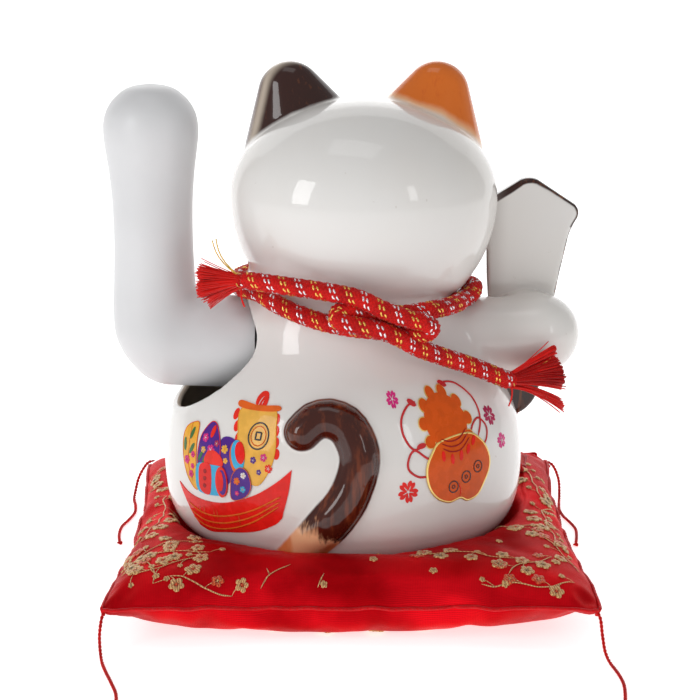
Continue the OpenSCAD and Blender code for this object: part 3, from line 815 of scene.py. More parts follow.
def ear_fields(mesh, p):
    """Each ear's paint starts at the crease where the ear leaves the skull."""
    across = p[:, 0] - HEAD[0]
    up = p[:, 2]
    off_skull = head(p)
    for name, side in (("ear_left", 1), ("ear_right", -1)):
        on_ear = (side * across > 2) & (up > 222) & (ear(p, side) < 4)
        paint = np.minimum(off_skull - 0.8, 0.8 * (up - 226))
        keep_value(mesh, name, np.where(on_ear, paint, UNPAINTED))
        # The sprayed rim lies in from the outer side and runs out over the top
        moved = p + np.array((side * 3.6, 0, -2.2))
        keep_value(mesh, name + "_rim", np.where(on_ear, ear(moved, side, flatten=0), UNPAINTED))


def tail_fields(mesh, p):
    near, run = tail_near(p)
    keep_value(mesh, "tail_run", run)
    reach = np.interp(run, TAIL_RUN, TAIL_SHAPE) + 0.9
    behind = (p[:, 1] > 0) & (p[:, 2] < 142)
    keep_value(mesh, "tail_side", np.where(behind, reach - near, UNPAINTED))


def plaque_fields(mesh, p):
    """The roof's band is wide on its inner slope and thin on the outer one; a line runs down the sides;
    painted shade darkens the back towards the head.
    """
    x, y, z = p.T
    outline = polygon_distance(p[:, [0, 2]], PLAQUE)
    off_middle = np.abs(y - PLAQUE_Y)
    on_plaque = (off_middle < 8) & (outline < 3)
    band = np.where(z < 190, 0.9, np.interp(x, (-112, -101, -92), (1.5, 2.6, 3.4)))
    side_line = np.where(off_middle < 4.2, outline + band, -9)
    low_end = np.where(z < 116, 112 - z, -9)
    roof = np.where(z > 190, outline + band, -9)
    rim = np.maximum.reduce([side_line, low_end, roof])
    keep_value(mesh, "plaque_rim", np.where(on_plaque, rim, UNPAINTED))
    # Painted shade: rises across the plaque's back from x -86 towards the head
    keep_value(mesh, "plaque_painted_shade", np.where(on_plaque & (y > PLAQUE_Y), (x + 86) / 8, -3))


def blush_field(mesh, p):
    """Soft red on the cheeks and in the ears."""
    across = p[:, 0] - HEAD[0]
    cheek = [1.2 - np.hypot(across - side * 34, p[:, 2] - 190) / 11 for side in (-1, 1)]
    in_ear = [1.0 - np.hypot(across - side * 41, (p[:, 2] - 256)) / 14 for side in (-1, 1)]
    keep_value(mesh, "blush", np.where(p[:, 1] < -26, np.maximum.reduce(cheek + in_ear), -1))


def paint_fields(mesh):
    """Distances that the glaze's colours are painted by."""
    p = np.empty(len(mesh.vertices) * 3)
    mesh.vertices.foreach_get("co", p)
    p = p.reshape(-1, 3) / MM
    keep_value(mesh, "depth", -outer_form(p))
    for fields in (ear_fields, tail_fields, plaque_fields, blush_field):
        fields(mesh, p)


def refine_outside(mesh, field):
    """Splits the outer faces once and settles the new points."""
    form = bmesh.new()
    form.from_mesh(mesh)
    p = np.array([v.co for v in form.verts]) / MM
    out = (outer_form(p) > -3.0) | ((p[:, 0] > 36) & (np.abs(p[:, 2] - 125) < 50))
    edges = [e for e in form.edges if out[e.verts[0].index] and out[e.verts[1].index]]
    bmesh.ops.subdivide_edges(form, edges=edges, cuts=1, use_grid_fill=True)
    p = np.array([v.co for v in form.verts]) / MM
    for vert, place in zip(form.verts, settle(field, p, 2)):
        vert.co = place * MM
    form.to_mesh(mesh)
    form.free()


def shell_piece(name, field, low, high, voxel, material, body, slot):
    points, quads = field_surface(field, low, high, voxel)
    shape = Shape()
    shape.add(points * MM, quads.tolist())
    return shape.make(name, [material], body, slot)


# ---- Transfers on the glaze ----

DEGREE = 1.72  # millimetres of glaze for a degree round the body
INK_LIFT = 0.22
INK_LAYER = 0.16
INK_SUNK = -0.3


def lifted_place(form, at, near, far, lift):
    """Halves the way between near, inside the form, and far, outside it, then lifts off the surface."""
    for _ in range(24):
        middle = (near + far) / 2
        inside = form(at(middle)) < 0
        near = np.where(inside, middle, near)
        far = np.where(inside, far, middle)
    p = at(near)
    g = gradient(form, p)
    return (p + lift * g / np.linalg.norm(g, axis=1)[:, None]) * MM


def on_body(places, lift):
    """Points on the glaze for places given as degrees round the body from its back, and height."""
    places = np.asarray(places, float)
    turn = np.radians(places[:, 0])
    ahead = np.column_stack([np.sin(turn), np.cos(turn)])

    def at(reach):
        return np.column_stack([AXIS + ahead * reach[:, None], places[:, 1]])

    count = len(places)
    return lifted_place(torso, at, np.full(count, 20.0), np.full(count, 130.0), lift)


def on_face(places, lift):
    """Points on the front of the head for places given across it from its middle, and by height."""
    places = np.asarray(places, float)

    def at(y):
        return np.column_stack([HEAD[0] + places[:, 0], y, places[:, 1]])

    count = len(places)
    return lifted_place(outer_form, at, np.full(count, -8.0), np.full(count, -110.0), lift)


def on_plaque(places, lift):
    """Points on the plaque's front."""
    places = np.asarray(places, float)
    y = np.full(len(places), PLAQUE_Y - PLAQUE_HALF - lift)
    return np.column_stack([places[:, 0], y, places[:, 1]]) * MM


def rounded(corners):
    """A closed outline through the corners, smoothed."""
    count = 6
    corners = np.asarray(corners, float)
    ring = np.vstack([corners[-1:], corners, corners[:2]])
    fine = []
    for a, b, c, d in zip(ring, ring[1:], ring[2:], ring[3:]):
        fine.append(bend(a, b, c, d, np.linspace(0, 1, count, endpoint=False)[:, None]))
    return np.vstack(fine)


def dense(corners, step=1.5):
    """A closed straight-sided outline, with points along its sides."""
    out = []
    for a, b in zip(corners, list(corners[1:]) + [corners[0]]):
        a, b = np.asarray(a, float), np.asarray(b, float)
        count = max(1, int(math.hypot((b[0] - a[0]) * 1.7, b[1] - a[1]) / step))
        out += [a + (b - a) * i / count for i in range(count)]
    return np.array(out)


def round_spot(centre, wide, high=None, turn=0.0, count=28, across=DEGREE):
    """An oval outline with half sizes in millimetres."""
    high = wide if high is None else high
    t = np.linspace(0, 2 * np.pi, count, endpoint=False)
    u, v = wide * np.cos(t), high * np.sin(t)
    c, s = math.cos(turn), math.sin(turn)
    return np.column_stack([centre[0] + (u * c - v * s) / across, centre[1] + u * s + v * c])


def blossom_line(centre, size, petals=5, turn=0.0, notch=0.22, across=DEGREE):
    """Outline of a flower with notched petals."""
    t = np.linspace(0, 2 * np.pi, petals * 14, endpoint=False)
    phase = (t * petals / (2 * np.pi)) % 1
    lobe = 0.42 + 0.58 * np.sin(np.pi * phase)**0.55
    lobe -= notch * np.exp(-((phase - 0.5) / 0.09)**2)
    t = t + turn
    reach = size * lobe
    return np.column_stack([centre[0] + reach * np.cos(t) / across, centre[1] + reach * np.sin(t)])


class Transfer:
    """Thin raised shapes laid on a surface in layers."""

    def __init__(self, place, across=DEGREE):
        self.place = place
        self.across = across
        self.shape = Shape()
        self.materials = []

    def slot_of(self, material):
        if material not in self.materials:
            self.materials.append(material)
        return self.materials.index(material)

    def fill(self, outline, material, layer=0):
        """A filled outline, its rim turned down onto the surface."""
        outline = np.asarray(outline, float)
        low, high = outline.min(axis=0), outline.max(axis=0)
        columns = np.arange(low[0], high[0], 2.4 / self.across)
        inner = [(x, z) for x in columns for z in np.arange(low[1], high[1], 2.4)]
        count = len(outline)
        points = [Vector(p) for p in outline.tolist()]
        if inner:
            flat = np.array(inner) * (self.across, 1)
            keep = polygon_distance(flat, outline * (self.across, 1)) < -0.9
            points += [Vector(p) for p, ok in zip(inner, keep) if ok]
        edges = [(i, (i + 1) % count) for i in range(count)]
        verts, _, faces, *_ = geometry.delaunay_2d_cdt(points, edges, [], 1, 1e-5)
        places = np.array([v[:] for v in verts])
        top = self.place(places, INK_LIFT + INK_LAYER * layer)
        turned = self.place(outline, INK_SUNK)
        rim_top = self.place(outline, INK_LIFT + INK_LAYER * layer)
        slot = self.slot_of(material)
        up = self.place(places[:1], 3.0) - self.place(places[:1], 0.0)
        a, b, c = (top[i] for i in faces[0][:3])
        flip = np.dot(np.cross(b - a, c - a), up[0]) < 0
        self.shape.add(top, [tuple(reversed(f)) if flip else tuple(f) for f in faces], slot)
        skirt = [(i, (i + 1) % count, count + (i + 1) % count, count + i) for i in range(count)]
        self.shape.add(np.vstack([rim_top, turned]), skirt, slot)

    def line(self, points, width, material, layer=0, closed=False):
        """A raised painted line."""
        points = np.asarray(points, float)
        if closed:
            points = np.vstack([points, points[:1]])
        path = self.place(points, 0.12 + INK_LAYER * layer)
        normal = self.place(points, 2.0) - self.place(points, 0.0)
        normal /= np.linalg.norm(normal, axis=1)[:, None]
        ahead = np.gradient(path, axis=0)
        side = np.cross(ahead, normal)
        side /= np.linalg.norm(side, axis=1)[:, None] + 1e-12
        taper = np.ones(len(path)) if closed else np.minimum(1, 0.35 + 0.35 * np.minimum(
            np.arange(len(path)), np.arange(len(path))[::-1]))
        wide = width / 2 * MM * taper
        self.shape.tube(path, wide, 6, self.slot_of(material), flat=0.45, axes=(side, normal))

    def curve(self, points, width, material, layer=0, step=1.2, closed=False):
        """A raised line through a few places, smoothed."""
        flat = smooth_path([(a * self.across, 0, z) for a, z in points], step)
        self.line(flat[:, [0, 2]] / (self.across, 1), width, material, layer, closed)

    def blossom(self, centre, size, petal, middle, turn=0.0, layer=0):
        self.fill(blossom_line(centre, size, turn=turn, across=self.across), petal, layer)
        for k in range(5):
            a = turn + (k + 0.5) * 2 * math.pi / 5
            reach = [(centre[0] + r * math.cos(a) / self.across, centre[1] + r * math.sin(a))
                     for r in (0.1 * size, 0.28 * size, 0.52 * size)]
            self.line(reach, 0.11 * size, middle, layer + 1)
        self.fill(round_spot(centre, 0.12 * size, across=self.across, count=12), middle, layer + 2)

    def make(self, name, body, slot):
        return self.shape.make(name, self.materials, body, slot)


def inks():
    """The transfers' colours."""
    tints = {"red": (0.82, 0.014, 0.009), "scarlet": (0.86, 0.028, 0.014), "deep": (0.36, 0.006, 0.008),
             "amber": (0.86, 0.42, 0.035), "sun": (0.86, 0.46, 0.075), "flame": (0.78, 0.13, 0.012),
             "sky": (0.05, 0.42, 0.70), "violet": (0.085, 0.02, 0.26), "green": (0.05, 0.17, 0.05),
             "rose": (0.72, 0.03, 0.23), "plum": (0.45, 0.03, 0.10), "slate": (0.045, 0.05, 0.06),
             "bag": (0.72, 0.095, 0.003), "white": (0.80, 0.76, 0.74), "ember": (0.60, 0.03, 0.035)}
    return {name: enamel("ink_" + name, tint) for name, tint in tints.items()}


def ship_sail(art, ink):
    """A tapering sail with scalloped sides, hung from a bar under a red bud."""
    for side, (top, low) in ((1, ((42.0, 105), (37.0, 88))), (-1, ((25.6, 105), (23.8, 88)))):
        for k in range(4):
            at = (top[0] + (low[0] - top[0]) * k / 3 + 0.3 * side, top[1] + (low[1] - top[1]) * k / 3)
            art.fill(round_spot(at, 2.0, 2.9, count=16), ink["scarlet"])
    sail = rounded([(40.8, 108), (33, 109.2), (26.4, 109), (24.8, 100), (24.0, 90), (25.4, 80), (29.5, 70.5),
                    (34, 73), (37, 84), (39.5, 97)])
    art.fill(sail, ink["sun"], 1)
    art.line(sail, 0.5, ink["amber"], 2, closed=True)
    bar = rounded([(42.4, 111.6), (34, 110.6), (25.6, 111.4), (25.4, 109), (34, 108), (42.0, 108.6)])
    art.fill(bar, ink["flame"], 3)
    bud = rounded([(35.2, 110.6), (35.9, 114), (34.4, 117), (32, 117), (30.9, 113.6), (31.6, 110)])
    art.fill(bud, ink["scarlet"], 2)
    art.curve([(34.2, 110.5), (33.9, 113), (33.1, 115)], 0.5, ink["white"], 3)
    art.curve([(32.9, 111), (32.6, 113)], 0.5, ink["white"], 3)


def sail_figures(art, ink):
    """A plain coin with a square hole, and a spray of blossom."""
    middle = (31, 96)
    art.line(round_spot(middle, 6.6, count=40), 0.8, ink["slate"], 3, closed=True)
    art.line(round_spot(middle, 4.9, count=32), 0.5, ink["flame"], 3, closed=True)
    hole = dense([(30, 97.8), (32, 97.8), (32, 94.2), (30, 94.2)], 1.0)
    art.line(hole, 0.9, ink["slate"], 3, closed=True)
    for at, size, tint in (((28, 85.5), 2.4, "rose"), ((26, 80), 2.6, "scarlet"),
                           ((31.8, 83.5), 2.1, "violet"), ((29.4, 77.5), 1.7, "violet")):
        art.blossom(at, size, ink[tint], ink["white"], layer=2)


def cloth_bolt(art, ink):
    """A yellow bolt of cloth with green leaves and pink flowers."""
    bolt = rounded([(64.4, 86), (63.6, 92), (60.5, 95.5), (57.4, 95.5), (56.4, 84), (55.6, 72), (54.4, 61.5),
                    (56.6, 61), (60.5, 67), (63, 76)])
    art.fill(bolt, ink["amber"], 1)
    art.line(bolt, 0.5, ink["flame"], 2, closed=True)
    for at, turn in (((59.6, 90), 0.3), ((62.6, 83), -0.2), ((58.6, 82), 0.5)):
        art.fill(round_spot(at, 1.3, 3.6, turn, 16), ink["green"], 2)
    art.curve([(61, 95), (60.4, 84), (59.6, 72), (57, 64)], 0.5, ink["flame"], 2)
    for at, size in (((60.6, 75), 2.6), ((57.6, 79), 1.9), ((58.0, 68), 2.3), ((57.4, 72.6), 1.7)):
        art.blossom(at, size, ink["rose"], ink["plum"], layer=3)


def painted_eggs(art, ink):
    """An upright egg with flowers, and one behind it."""
    egg_line = rounded([(55.2, 82), (54.6, 91), (52, 98), (49.6, 98.6), (47.4, 95), (45.4, 88), (45, 78),
                        (47, 72), (52, 71), (54.6, 74)])
    art.fill(egg_line, ink["violet"], 2)
    art.line(egg_line, 0.5, ink["scarlet"], 3, closed=True)
    art.fill(round_spot((49.6, 94), 1.5, 3.4, 0.2, 16), ink["scarlet"], 3)
    for at, size, tint in (((52.4, 90), 2.6, "rose"), ((49.2, 84.5), 3.1, "rose"), ((47, 88.5), 2.0, "plum"),
                           ((52.6, 83.5), 2.0, "sun")):
        art.blossom(at, size, ink[tint], ink["white"], layer=3)
    for at, turn in (((53.6, 80), 0.5), ((52.0, 77), 0.2)):
        art.fill(round_spot(at, 1.0, 3.4, turn, 14), ink["green"], 3)
    behind = rounded([(45.6, 91), (39.2, 91.6), (38.4, 80), (41, 68), (45.4, 70)])
    art.fill(behind, ink["violet"], 1)
    for at, size, tint in (((43.4, 86.5), 2.6, "sun"), ((42.6, 80.5), 1.8, "sun")):
        art.blossom(at, size, ink[tint], ink["amber"], layer=2)


def drums(art, ink):
    """A drum standing on its rim, and a drum lying down, with plain red heads."""
    art.fill(round_spot((38.2, 83), 4.6, 9.0, -0.28), ink["flame"], 3)
    art.fill(round_spot((37.8, 84.5), 4.3, 8.2, -0.28), ink["sky"], 4)
    art.fill(round_spot((37.0, 86.2), 3.1, 5.9, -0.28), ink["red"], 5)
    between = rounded([(50.6, 83), (47.6, 84.6), (44.4, 82), (43.4, 78), (45.6, 76), (51.4, 77)])
    art.fill(between, ink["scarlet"], 4)
    drum = rounded([(54.4, 75.4), (48, 76.8), (43.4, 76.4), (42.6, 70), (43.4, 62), (48, 60), (53.6, 60.4),
                    (55.2, 67)])
    art.fill(drum, ink["sky"], 5)
    band = rounded([(53.0, 75.6), (48.4, 76), (48.2, 61), (52.4, 61.2), (53.6, 68)])
    art.fill(band, ink["red"], 6)
    for k in range(3):
        art.fill(round_spot((50.7, 72.4 - 4 * k), 1.2, 1.2, count=14), ink["deep"], 7)
    art.fill(round_spot((43.6, 68.6), 4.2, 8.4, -0.1), ink["scarlet"], 6)
    art.fill(round_spot((43.2, 68.6), 3.1, 6.8, -0.1), ink["violet"], 7)
    art.fill(round_spot((43.9, 69.2), 2.3, 5.6, -0.1), ink["red"], 8)


def low_egg(art, ink):
    """A small egg with flowers, in front of the drums."""
    outline = rounded([(39.8, 67), (39.2, 74), (36.6, 78.4), (33.6, 77), (32, 70), (33.4, 64), (37, 60.6),
                       (39.4, 61)])
    art.fill(outline, ink["violet"], 5)
    art.line(outline, 0.4, ink["flame"], 6, closed=True)
    for at, size, tint in (((37.4, 71), 2.3, "flame"), ((35, 74.6), 1.9, "white"), ((35, 67), 2.0, "sky"),
                           ((37.2, 64.4), 1.5, "rose")):
        art.blossom(at, size, ink[tint], ink["sun"], layer=6)


def ship_hull(art, ink):
    """Four smooth sides that meet at sharp corners, with plank lines."""
    rims = ([(65.2, 60.5), (59, 56.5), (51, 55.5), (42, 57.5), (31, 64.5), (23, 73), (17.6, 80.5)],
            [(17.6, 80.5), (18.6, 68), (21, 53.4)],
            [(21, 53.4), (24, 49), (32, 43.5), (44, 39.6), (51, 37.4), (56, 39)],
            [(56, 39), (59.6, 47), (65.2, 60.5)])
    sides = [smooth_path([(x * DEGREE, 0, z) for x, z in rim], 1.5)[:-1] for rim in rims]
    art.fill(np.vstack(sides)[:, [0, 2]] / (DEGREE, 1), ink["red"], 2)
    for drop in (6.5, 10.5, 14):
        plank = [(61.6 - 0.25 * drop, 57.5 - drop), (52, 54.4 - drop), (43, 56 - drop),
                 (32, 61.6 - 0.9 * drop), (20.6 + 0.1 * drop, 70.5 - 0.75 * drop)]
        art.curve(plank, 1.0, ink["flame"], 4)
    for at in (54, 51.8, 47.4, 46, 37):
        art.line([(at, 52), (at - 0.1, 49), (at - 0.3, 46.6)], 0.6, ink["flame"], 4)


def treasure_ship(ink):
    """A ship loaded with cloth, painted eggs and drums."""
    art = Transfer(on_body)
    for part in (ship_sail, sail_figures, cloth_bolt, painted_eggs, drums, low_egg, ship_hull):
        part(art, ink)
    return art.make("ship_transfer", "cat", "glazed_white")


def money_bag(ink, gold):
    """A tied bag with a frilled mouth, gold outline and looped red cords."""
    art = Transfer(on_body)
    loops = ([(-37, 91), (-30, 91.5), (-25.6, 90), (-22.6, 97), (-22.6, 105), (-26, 111), (-30, 113)],
             [(-31, 75), (-26.6, 75.5), (-23.2, 80), (-23.6, 86), (-26, 89.5), (-30, 85), (-34, 82)],
             [(-43, 117), (-47, 119.5), (-52.5, 117.5), (-56.4, 110), (-56, 100), (-52.4, 91)],
             [(-48.4, 92), (-51.5, 97.6), (-55, 99.6), (-57.4, 94.5), (-56, 88.5), (-53, 84.5)])
    for loop in loops:
        art.curve(loop, 1.25, ink["ember"], 1)
    for at, turn in (((-28.4, 112.6), 0.5), ((-45.4, 119), 0.4), ((-28.6, 91.4), -0.2)):
        art.fill(round_spot(at, 3.0, 1.4, turn, 18), ink["ember"], 3)
    # Frilled mouth
    reach = 15.8
    for k in range(8):
        a = math.radians(212 - 34.5 * k)
        at = (-40.3 + (reach * math.cos(a) * 1.02) / DEGREE, 100.6 + reach * math.sin(a))
        art.fill(round_spot(at, 3.7, count=22), gold, 2)
        art.fill(round_spot(at, 3.2, count=22), ink["bag"], 3)
    art.fill(round_spot((-40.2, 102.0), 14.8, 13.4), ink["bag"], 4)
    neck = rounded([(-34.4, 96), (-40, 99), (-46.6, 97), (-46.8, 91), (-41, 88.5), (-36, 90.5)])
    art.fill(neck, ink["bag"], 5)
    # Body of the bag, three soft lobes with a gold outline
    body = rounded([(-36.2, 92.4), (-32.2, 87), (-29.8, 79), (-30.4, 69.6), (-33.4, 62.6), (-38, 59.4),
                    (-42.2, 60.6), (-45.4, 58.2), (-49.6, 60.0), (-52.6, 66), (-55.2, 72.6), (-55.6, 80),
                    (-53, 88.4), (-47.4, 94)])
    art.line(body, 1.5, gold, 4, closed=True)
    art.fill(body, ink["bag"], 5)
    for drop in (0, 2.4, 4.8):
        art.curve([(-36.2, 93.4 - drop), (-39.4, 91.6 - 1.1 * drop), (-43.4, 92.4 - 1.2 * drop),
                   (-47.2 - 0.1 * drop, 96.4 - drop)], 0.7, ink["deep"], 7)
    for at, turn in (((-36.2, 84.6), 0.0), ((-39.6, 82.4), 0.0), ((-43.2, 83.4), 0.15), ((-46.4, 86), 0.35),
                     ((-49.2, 89.6), 0.6)):
        art.fill(round_spot(at, 1.15, 2.8, turn, 14), ink["red"], 7)
    # A row of plain coins in place of writing
    for k in range(3):
        at = (-39.4 - 5.2 * k, 67.4 + 4.0 * k)
        art.line(round_spot(at, 3.1, count=20), 0.6, ink["slate"], 7, closed=True)
        art.line(round_spot(at, 0.95, count=10), 0.5, ink["slate"], 7, closed=True)
    art.curve([(-41.8, 61.4), (-42.2, 65), (-41.4, 69)], 0.5, ink["red"], 7)
    return art.make("bag_transfer", "cat", "glazed_white")


def loose_blossoms(ink):
    """Single blossoms round the bag, and three on the front of the body."""
    art = Transfer(on_body)
    for at, size, tint, turn in (((-20.8, 115), 4.6, "rose", 0.3), ((-22.8, 68), 6.6, "red", 0.2),
                                 ((-61.2, 99), 5.6, "plum", 0.5), ((-64.2, 84), 4.6, "rose", 0.9)):
        art.blossom(at, size, ink[tint], ink["white"], turn)
    for at, size, tint in (((150, 104), 6, "rose"), ((-150, 92), 6.5, "red"), ((166, 78), 5, "plum")):
        art.blossom(at, size, ink[tint], ink["white"], 0.4)
    return art.make("blossom_transfer", "cat", "glazed_white")


def face(ink):
    """A calm, plain cat face, with whiskers."""
    art = Transfer(on_face, across=1.0)
    black = enamel("ink_black", (0.012, 0.010, 0.010))
    iris = enamel("ink_iris", (0.62, 0.40, 0.06))
    for side in (-1, 1):
        lid = [(15, 211), (20, 219), (29, 222), (37, 217), (39, 210), (33, 204.5), (24, 203.5), (17, 206.5)]
        eye = rounded([(side * x, z) for x, z in lid])
        art.fill(eye, iris, 0)
        art.line(eye, 1.5, black, 1, closed=True)
        art.fill(round_spot((side * 27, 212.5), 5.2, 7.2, across=1), black, 1)
        art.fill(round_spot((side * 27 - 1.8, 215.5), 1.5, 2.0, across=1), ink["white"], 3)
        brow = [(side * 19, 229), (side * 25, 232), (side * 31, 232)]
        art.curve(brow, 1.0, ink["tan"], 0)
        for k in range(3):
            start = (side * 27, 194 - 5 * k)
            art.curve([start, (side * 40, 195 - 8 * k), (side * 55, 194 - 10 * k)], 0.9, black, 0)
        art.curve([(0, 196), (side * 2, 190), (side * 8, 187), (side * 14, 189.5)], 1.1, ink["deep"], 0)
    art.fill(rounded([(-4.6, 202.5), (4.6, 202.5), (2.6, 198.6), (0, 197), (-2.6, 198.6)]), ink["nose"], 0)
    return art.make("face_transfer", "cat", "glazed_white")


def plaque_front(ink, gold):
    """Plain gold border and blossoms, in place of writing."""
    art = Transfer(on_plaque, across=1.0)
    border = dense([(-101, 214), (-124, 199), (-120, 190), (-114, 158), (-106, 100), (-97, 90), (-89, 100),
                    (-83, 158), (-82, 194), (-77, 201)], 2.5)
    art.line(border, 1.2, gold, 0, closed=True)
    for z, size, tint in ((204, 7.5, "red"), (186, 6.5, "rose"), (122, 6, "red"), (108, 4.5, "rose")):
        art.blossom((-99, z), size, ink[tint], ink["white"])
    return art.make("plaque_transfer", "cat", "glazed_white")


# ---- Waving arm ----

AXLE_Z = 130.0
FOREARM_X = 108.2
ELBOW_X = 104.0
STUB_X = 52.0
ARM_LINE = [(124, 8), (126.5, 13), (131, 17.5), (138, 20.6), (150, 21.4), (165, 20.7), (178, 20.2),
            (190, 19.9), (203, 20.0), (214, 20.4), (228, 21.6), (240, 23.2), (248, 24), (255, 23.6),
            (261, 21.6), (266.5, 17.5), (271, 11), (273, 0)]


def arm_profile():
    """Closed outline of the upright forearm and paw, as radius and height."""
    side = smooth_path([(r, 0, z) for z, r in ARM_LINE], 2.0)[:, [0, 2]]
    return np.vstack([side, (-5, ARM_LINE[-1][0]), (-5, ARM_LINE[0][0])])


ARM_PROFILE = arm_profile()


def arm_form(p):
    stub = rod(p, (STUB_X - 12, 0, AXLE_Z), (ELBOW_X - 5, 0, AXLE_Z + 3.5), 23.2, 24.6)
    around = np.hypot(p[:, 0] - FOREARM_X, p[:, 1])
    column = polygon_distance(np.column_stack([around, p[:, 2]]), ARM_PROFILE)
    return blend_min(stub, column, 8)


def arm_half(name, side):
    """One moulded shell, cut along the seam and given its wall."""
    points, quads = field_surface(arm_form, (36, -28, 100), (136, 28, 276), 2.6)
    shape = Shape()
    shape.add(points * MM, quads.tolist())
    plastic = satin_moulding("arm_plastic", tuple(look("arm").white), 0.34)
    piece = shape.make(name, [plastic], "arm", "arm_plastic")
    form = bmesh.new()
    form.from_mesh(piece.data)
    bmesh.ops.subdivide_edges(form, edges=form.edges, cuts=1, use_grid_fill=True)
    p = np.array([v.co for v in form.verts]) / MM
    for vert, place in zip(form.verts, settle(arm_form, p, 2)):
        vert.co = place * MM
    for origin, normal in (((STUB_X * MM, 0, 0), (-1, 0, 0)), ((0, side * 0.12 * MM, 0), (0, -side, 0))):
        everything = form.verts[:] + form.edges[:] + form.faces[:]
        bmesh.ops.bisect_plane(form, geom=everything, plane_co=origin, plane_no=normal, clear_outer=True)
    form.to_mesh(piece.data)
    form.free()
    wall = piece.modifiers.new("wall", "SOLIDIFY")
    wall.thickness = look("arm").wall
    wall.offset = -1
    apply_modifiers(piece)
    piece.data.polygons.foreach_set("use_smooth", [True] * len(piece.data.polygons))
    bend_by_angle(piece, 50)
    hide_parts("arm_shell_back" if side > 0 else "arm_shell_front")


def apply_modifiers(piece):
    """Gives the piece the mesh that its modifiers make, and takes them off."""
    graph = bpy.context.evaluated_depsgraph_get()
    mesh = bpy.data.meshes.new_from_object(piece.evaluated_get(graph))
    piece.modifiers.clear()
    piece.data = mesh


# ---- Twisted and braided cord ----

def wind(path, reach, turns, phase):
    """A path that winds round another at a distance."""
    side, up = cross_axes(path)
    angle = 2 * np.pi * (turns * np.linspace(0, 1, len(path)) + phase)
    reach = np.broadcast_to(np.asarray(reach, float), len(path))
    return path + reach[:, None] * (np.cos(angle)[:, None] * side + np.sin(angle)[:, None] * up)


def twisted_cord(shape, path, diameter, plies, pitch, slot=0, ends=0.35):
    """Strands laid round each other, closing in at both ends."""
    turns = path_length(path) / pitch
    count = len(path)
    taper = np.minimum(1, ends + np.minimum(np.arange(count), np.arange(count)[::-1]) / 6)
    for k in range(plies):
        shape.tube(wind(path, 0.25 * diameter * taper, turns, k / plies), 0.265 * diameter * taper, 6, slot)


def braided_cord(shape, path, diameter, pitch=0.018):
    """A round braid of sixteen strands; four of one hand are metallic."""
    half = 8
    turns = path_length(path) / pitch
    run = np.linspace(0, 1, len(path))
    reach = 0.40 * diameter
    lift = 0.052 * diameter
    wave = np.cos(half * 2 * np.pi * turns * run)
    metal = {0: 3, 1: 3, 4: 2, 5: 2}
    side, up = cross_axes(path)
    shape.tube(path, 0.34 * diameter, 10, 1, axes=(side, up))
    for hand in (1, -1):
        for k in range(half):
            out = reach + hand * lift * wave
            angle = 2 * np.pi * (hand * turns * run + k / half)
            away = np.cos(angle)[:, None] * side + np.sin(angle)[:, None] * up
            strand = path + out[:, None] * away
            ahead = np.gradient(strand, axis=0)
            across = np.cross(ahead, away)
            across /= np.linalg.norm(across, axis=1)[:, None]
            shape.tube(strand, 0.124 * diameter, 6, 0, flat=0.55, axes=(across, away))
            if hand == 1 and k in metal:
                thread = strand + 0.036 * diameter * away
                shape.tube(thread, 0.088 * diameter, 4, metal[k], flat=0.55, axes=(across, away))


COLLAR_MIDDLE = (-1.0, -8.0)
COLLAR_R = (62.5, 54.5)
COLLAR_Z = 161.0
LEFT_WAY = [(50, 24, 165), (38, 39, 161), (20, 50, 156), (3, 55, 153), (-12, 56.5, 151.5), (-26, 58, 150.5),
            (-37, 59, 150), (-43, 60, 152.5), (-40, 63, 157), (-29, 65, 160), (-16, 65, 165), (-4, 62, 170),
            (12, 58, 172.5), (30, 52.5, 174), (44, 48, 175), (56, 43, 175.5)]
RIGHT_WAY = [(-60, 20, 158.5), (-51, 37, 159.5), (-40, 48, 160), (-27, 54, 159.5), (-13, 57, 160.5),
             (-1, 59, 163), (6.5, 61, 162), (5, 64.5, 157.5), (-5, 65.5, 156), (-16, 65.5, 153.5),
             (-26, 63, 149), (-36, 57, 142), (-50, 47, 134.5), (-66, 36, 126.5), (-87, 25.5, 115.5)]
LEFT_TIP = (80, 36, 173.5)
RIGHT_TIP = (-115.5, 18, 120.5)


def collar_path():
    """The whole cord: left end, knot, round the front of the neck, knot, right end."""
    front = []
    for degrees in range(66, 295, 12):
        a = math.radians(degrees)
        front.append((COLLAR_MIDDLE[0] + COLLAR_R[0] * math.sin(a),
                      COLLAR_MIDDLE[1] + COLLAR_R[1] * math.cos(a), COLLAR_Z + 3 * math.sin(a)))
    ways = LEFT_WAY[::-1] + front + RIGHT_WAY
    return smooth_path(np.array(ways) * MM, 0.0009)


def push_out(path, keep):
    """Moves the path clear of the glaze."""
    for _ in range(4):
        p = path / MM
        g = gradient(outer_form, p)
        lack = np.clip(keep - outer_form(p), 0, 4)
        path = path + (lack[:, None] * g / np.maximum(np.linalg.norm(g, axis=1), 0.2)[:, None]) * MM
    soft = path.copy()
    for _ in range(6):
        soft[1:-1] = (soft[:-2] + 2 * soft[1:-1] + soft[2:]) / 4
    return soft


def cord_silk(name):
    """Red silk, deep red between its strands."""
    cord = look("cord")
    return silk(name, tuple(cord.red), tuple(cord.deep))


def gold_tinsel():
    return tinsel("gold_tinsel", tuple(look("cord").gold))


def tassel_silks():
    """Bright and deep fibres of a tassel."""
    cord = look("cord")
    bright = tuple(cord.red)
    return [silk("tassel_silk", bright, tuple(0.8 * c for c in bright), 0.6),
            silk("tassel_deep", tuple(0.72 * c for c in bright), tuple(cord.deep), 0.5)]


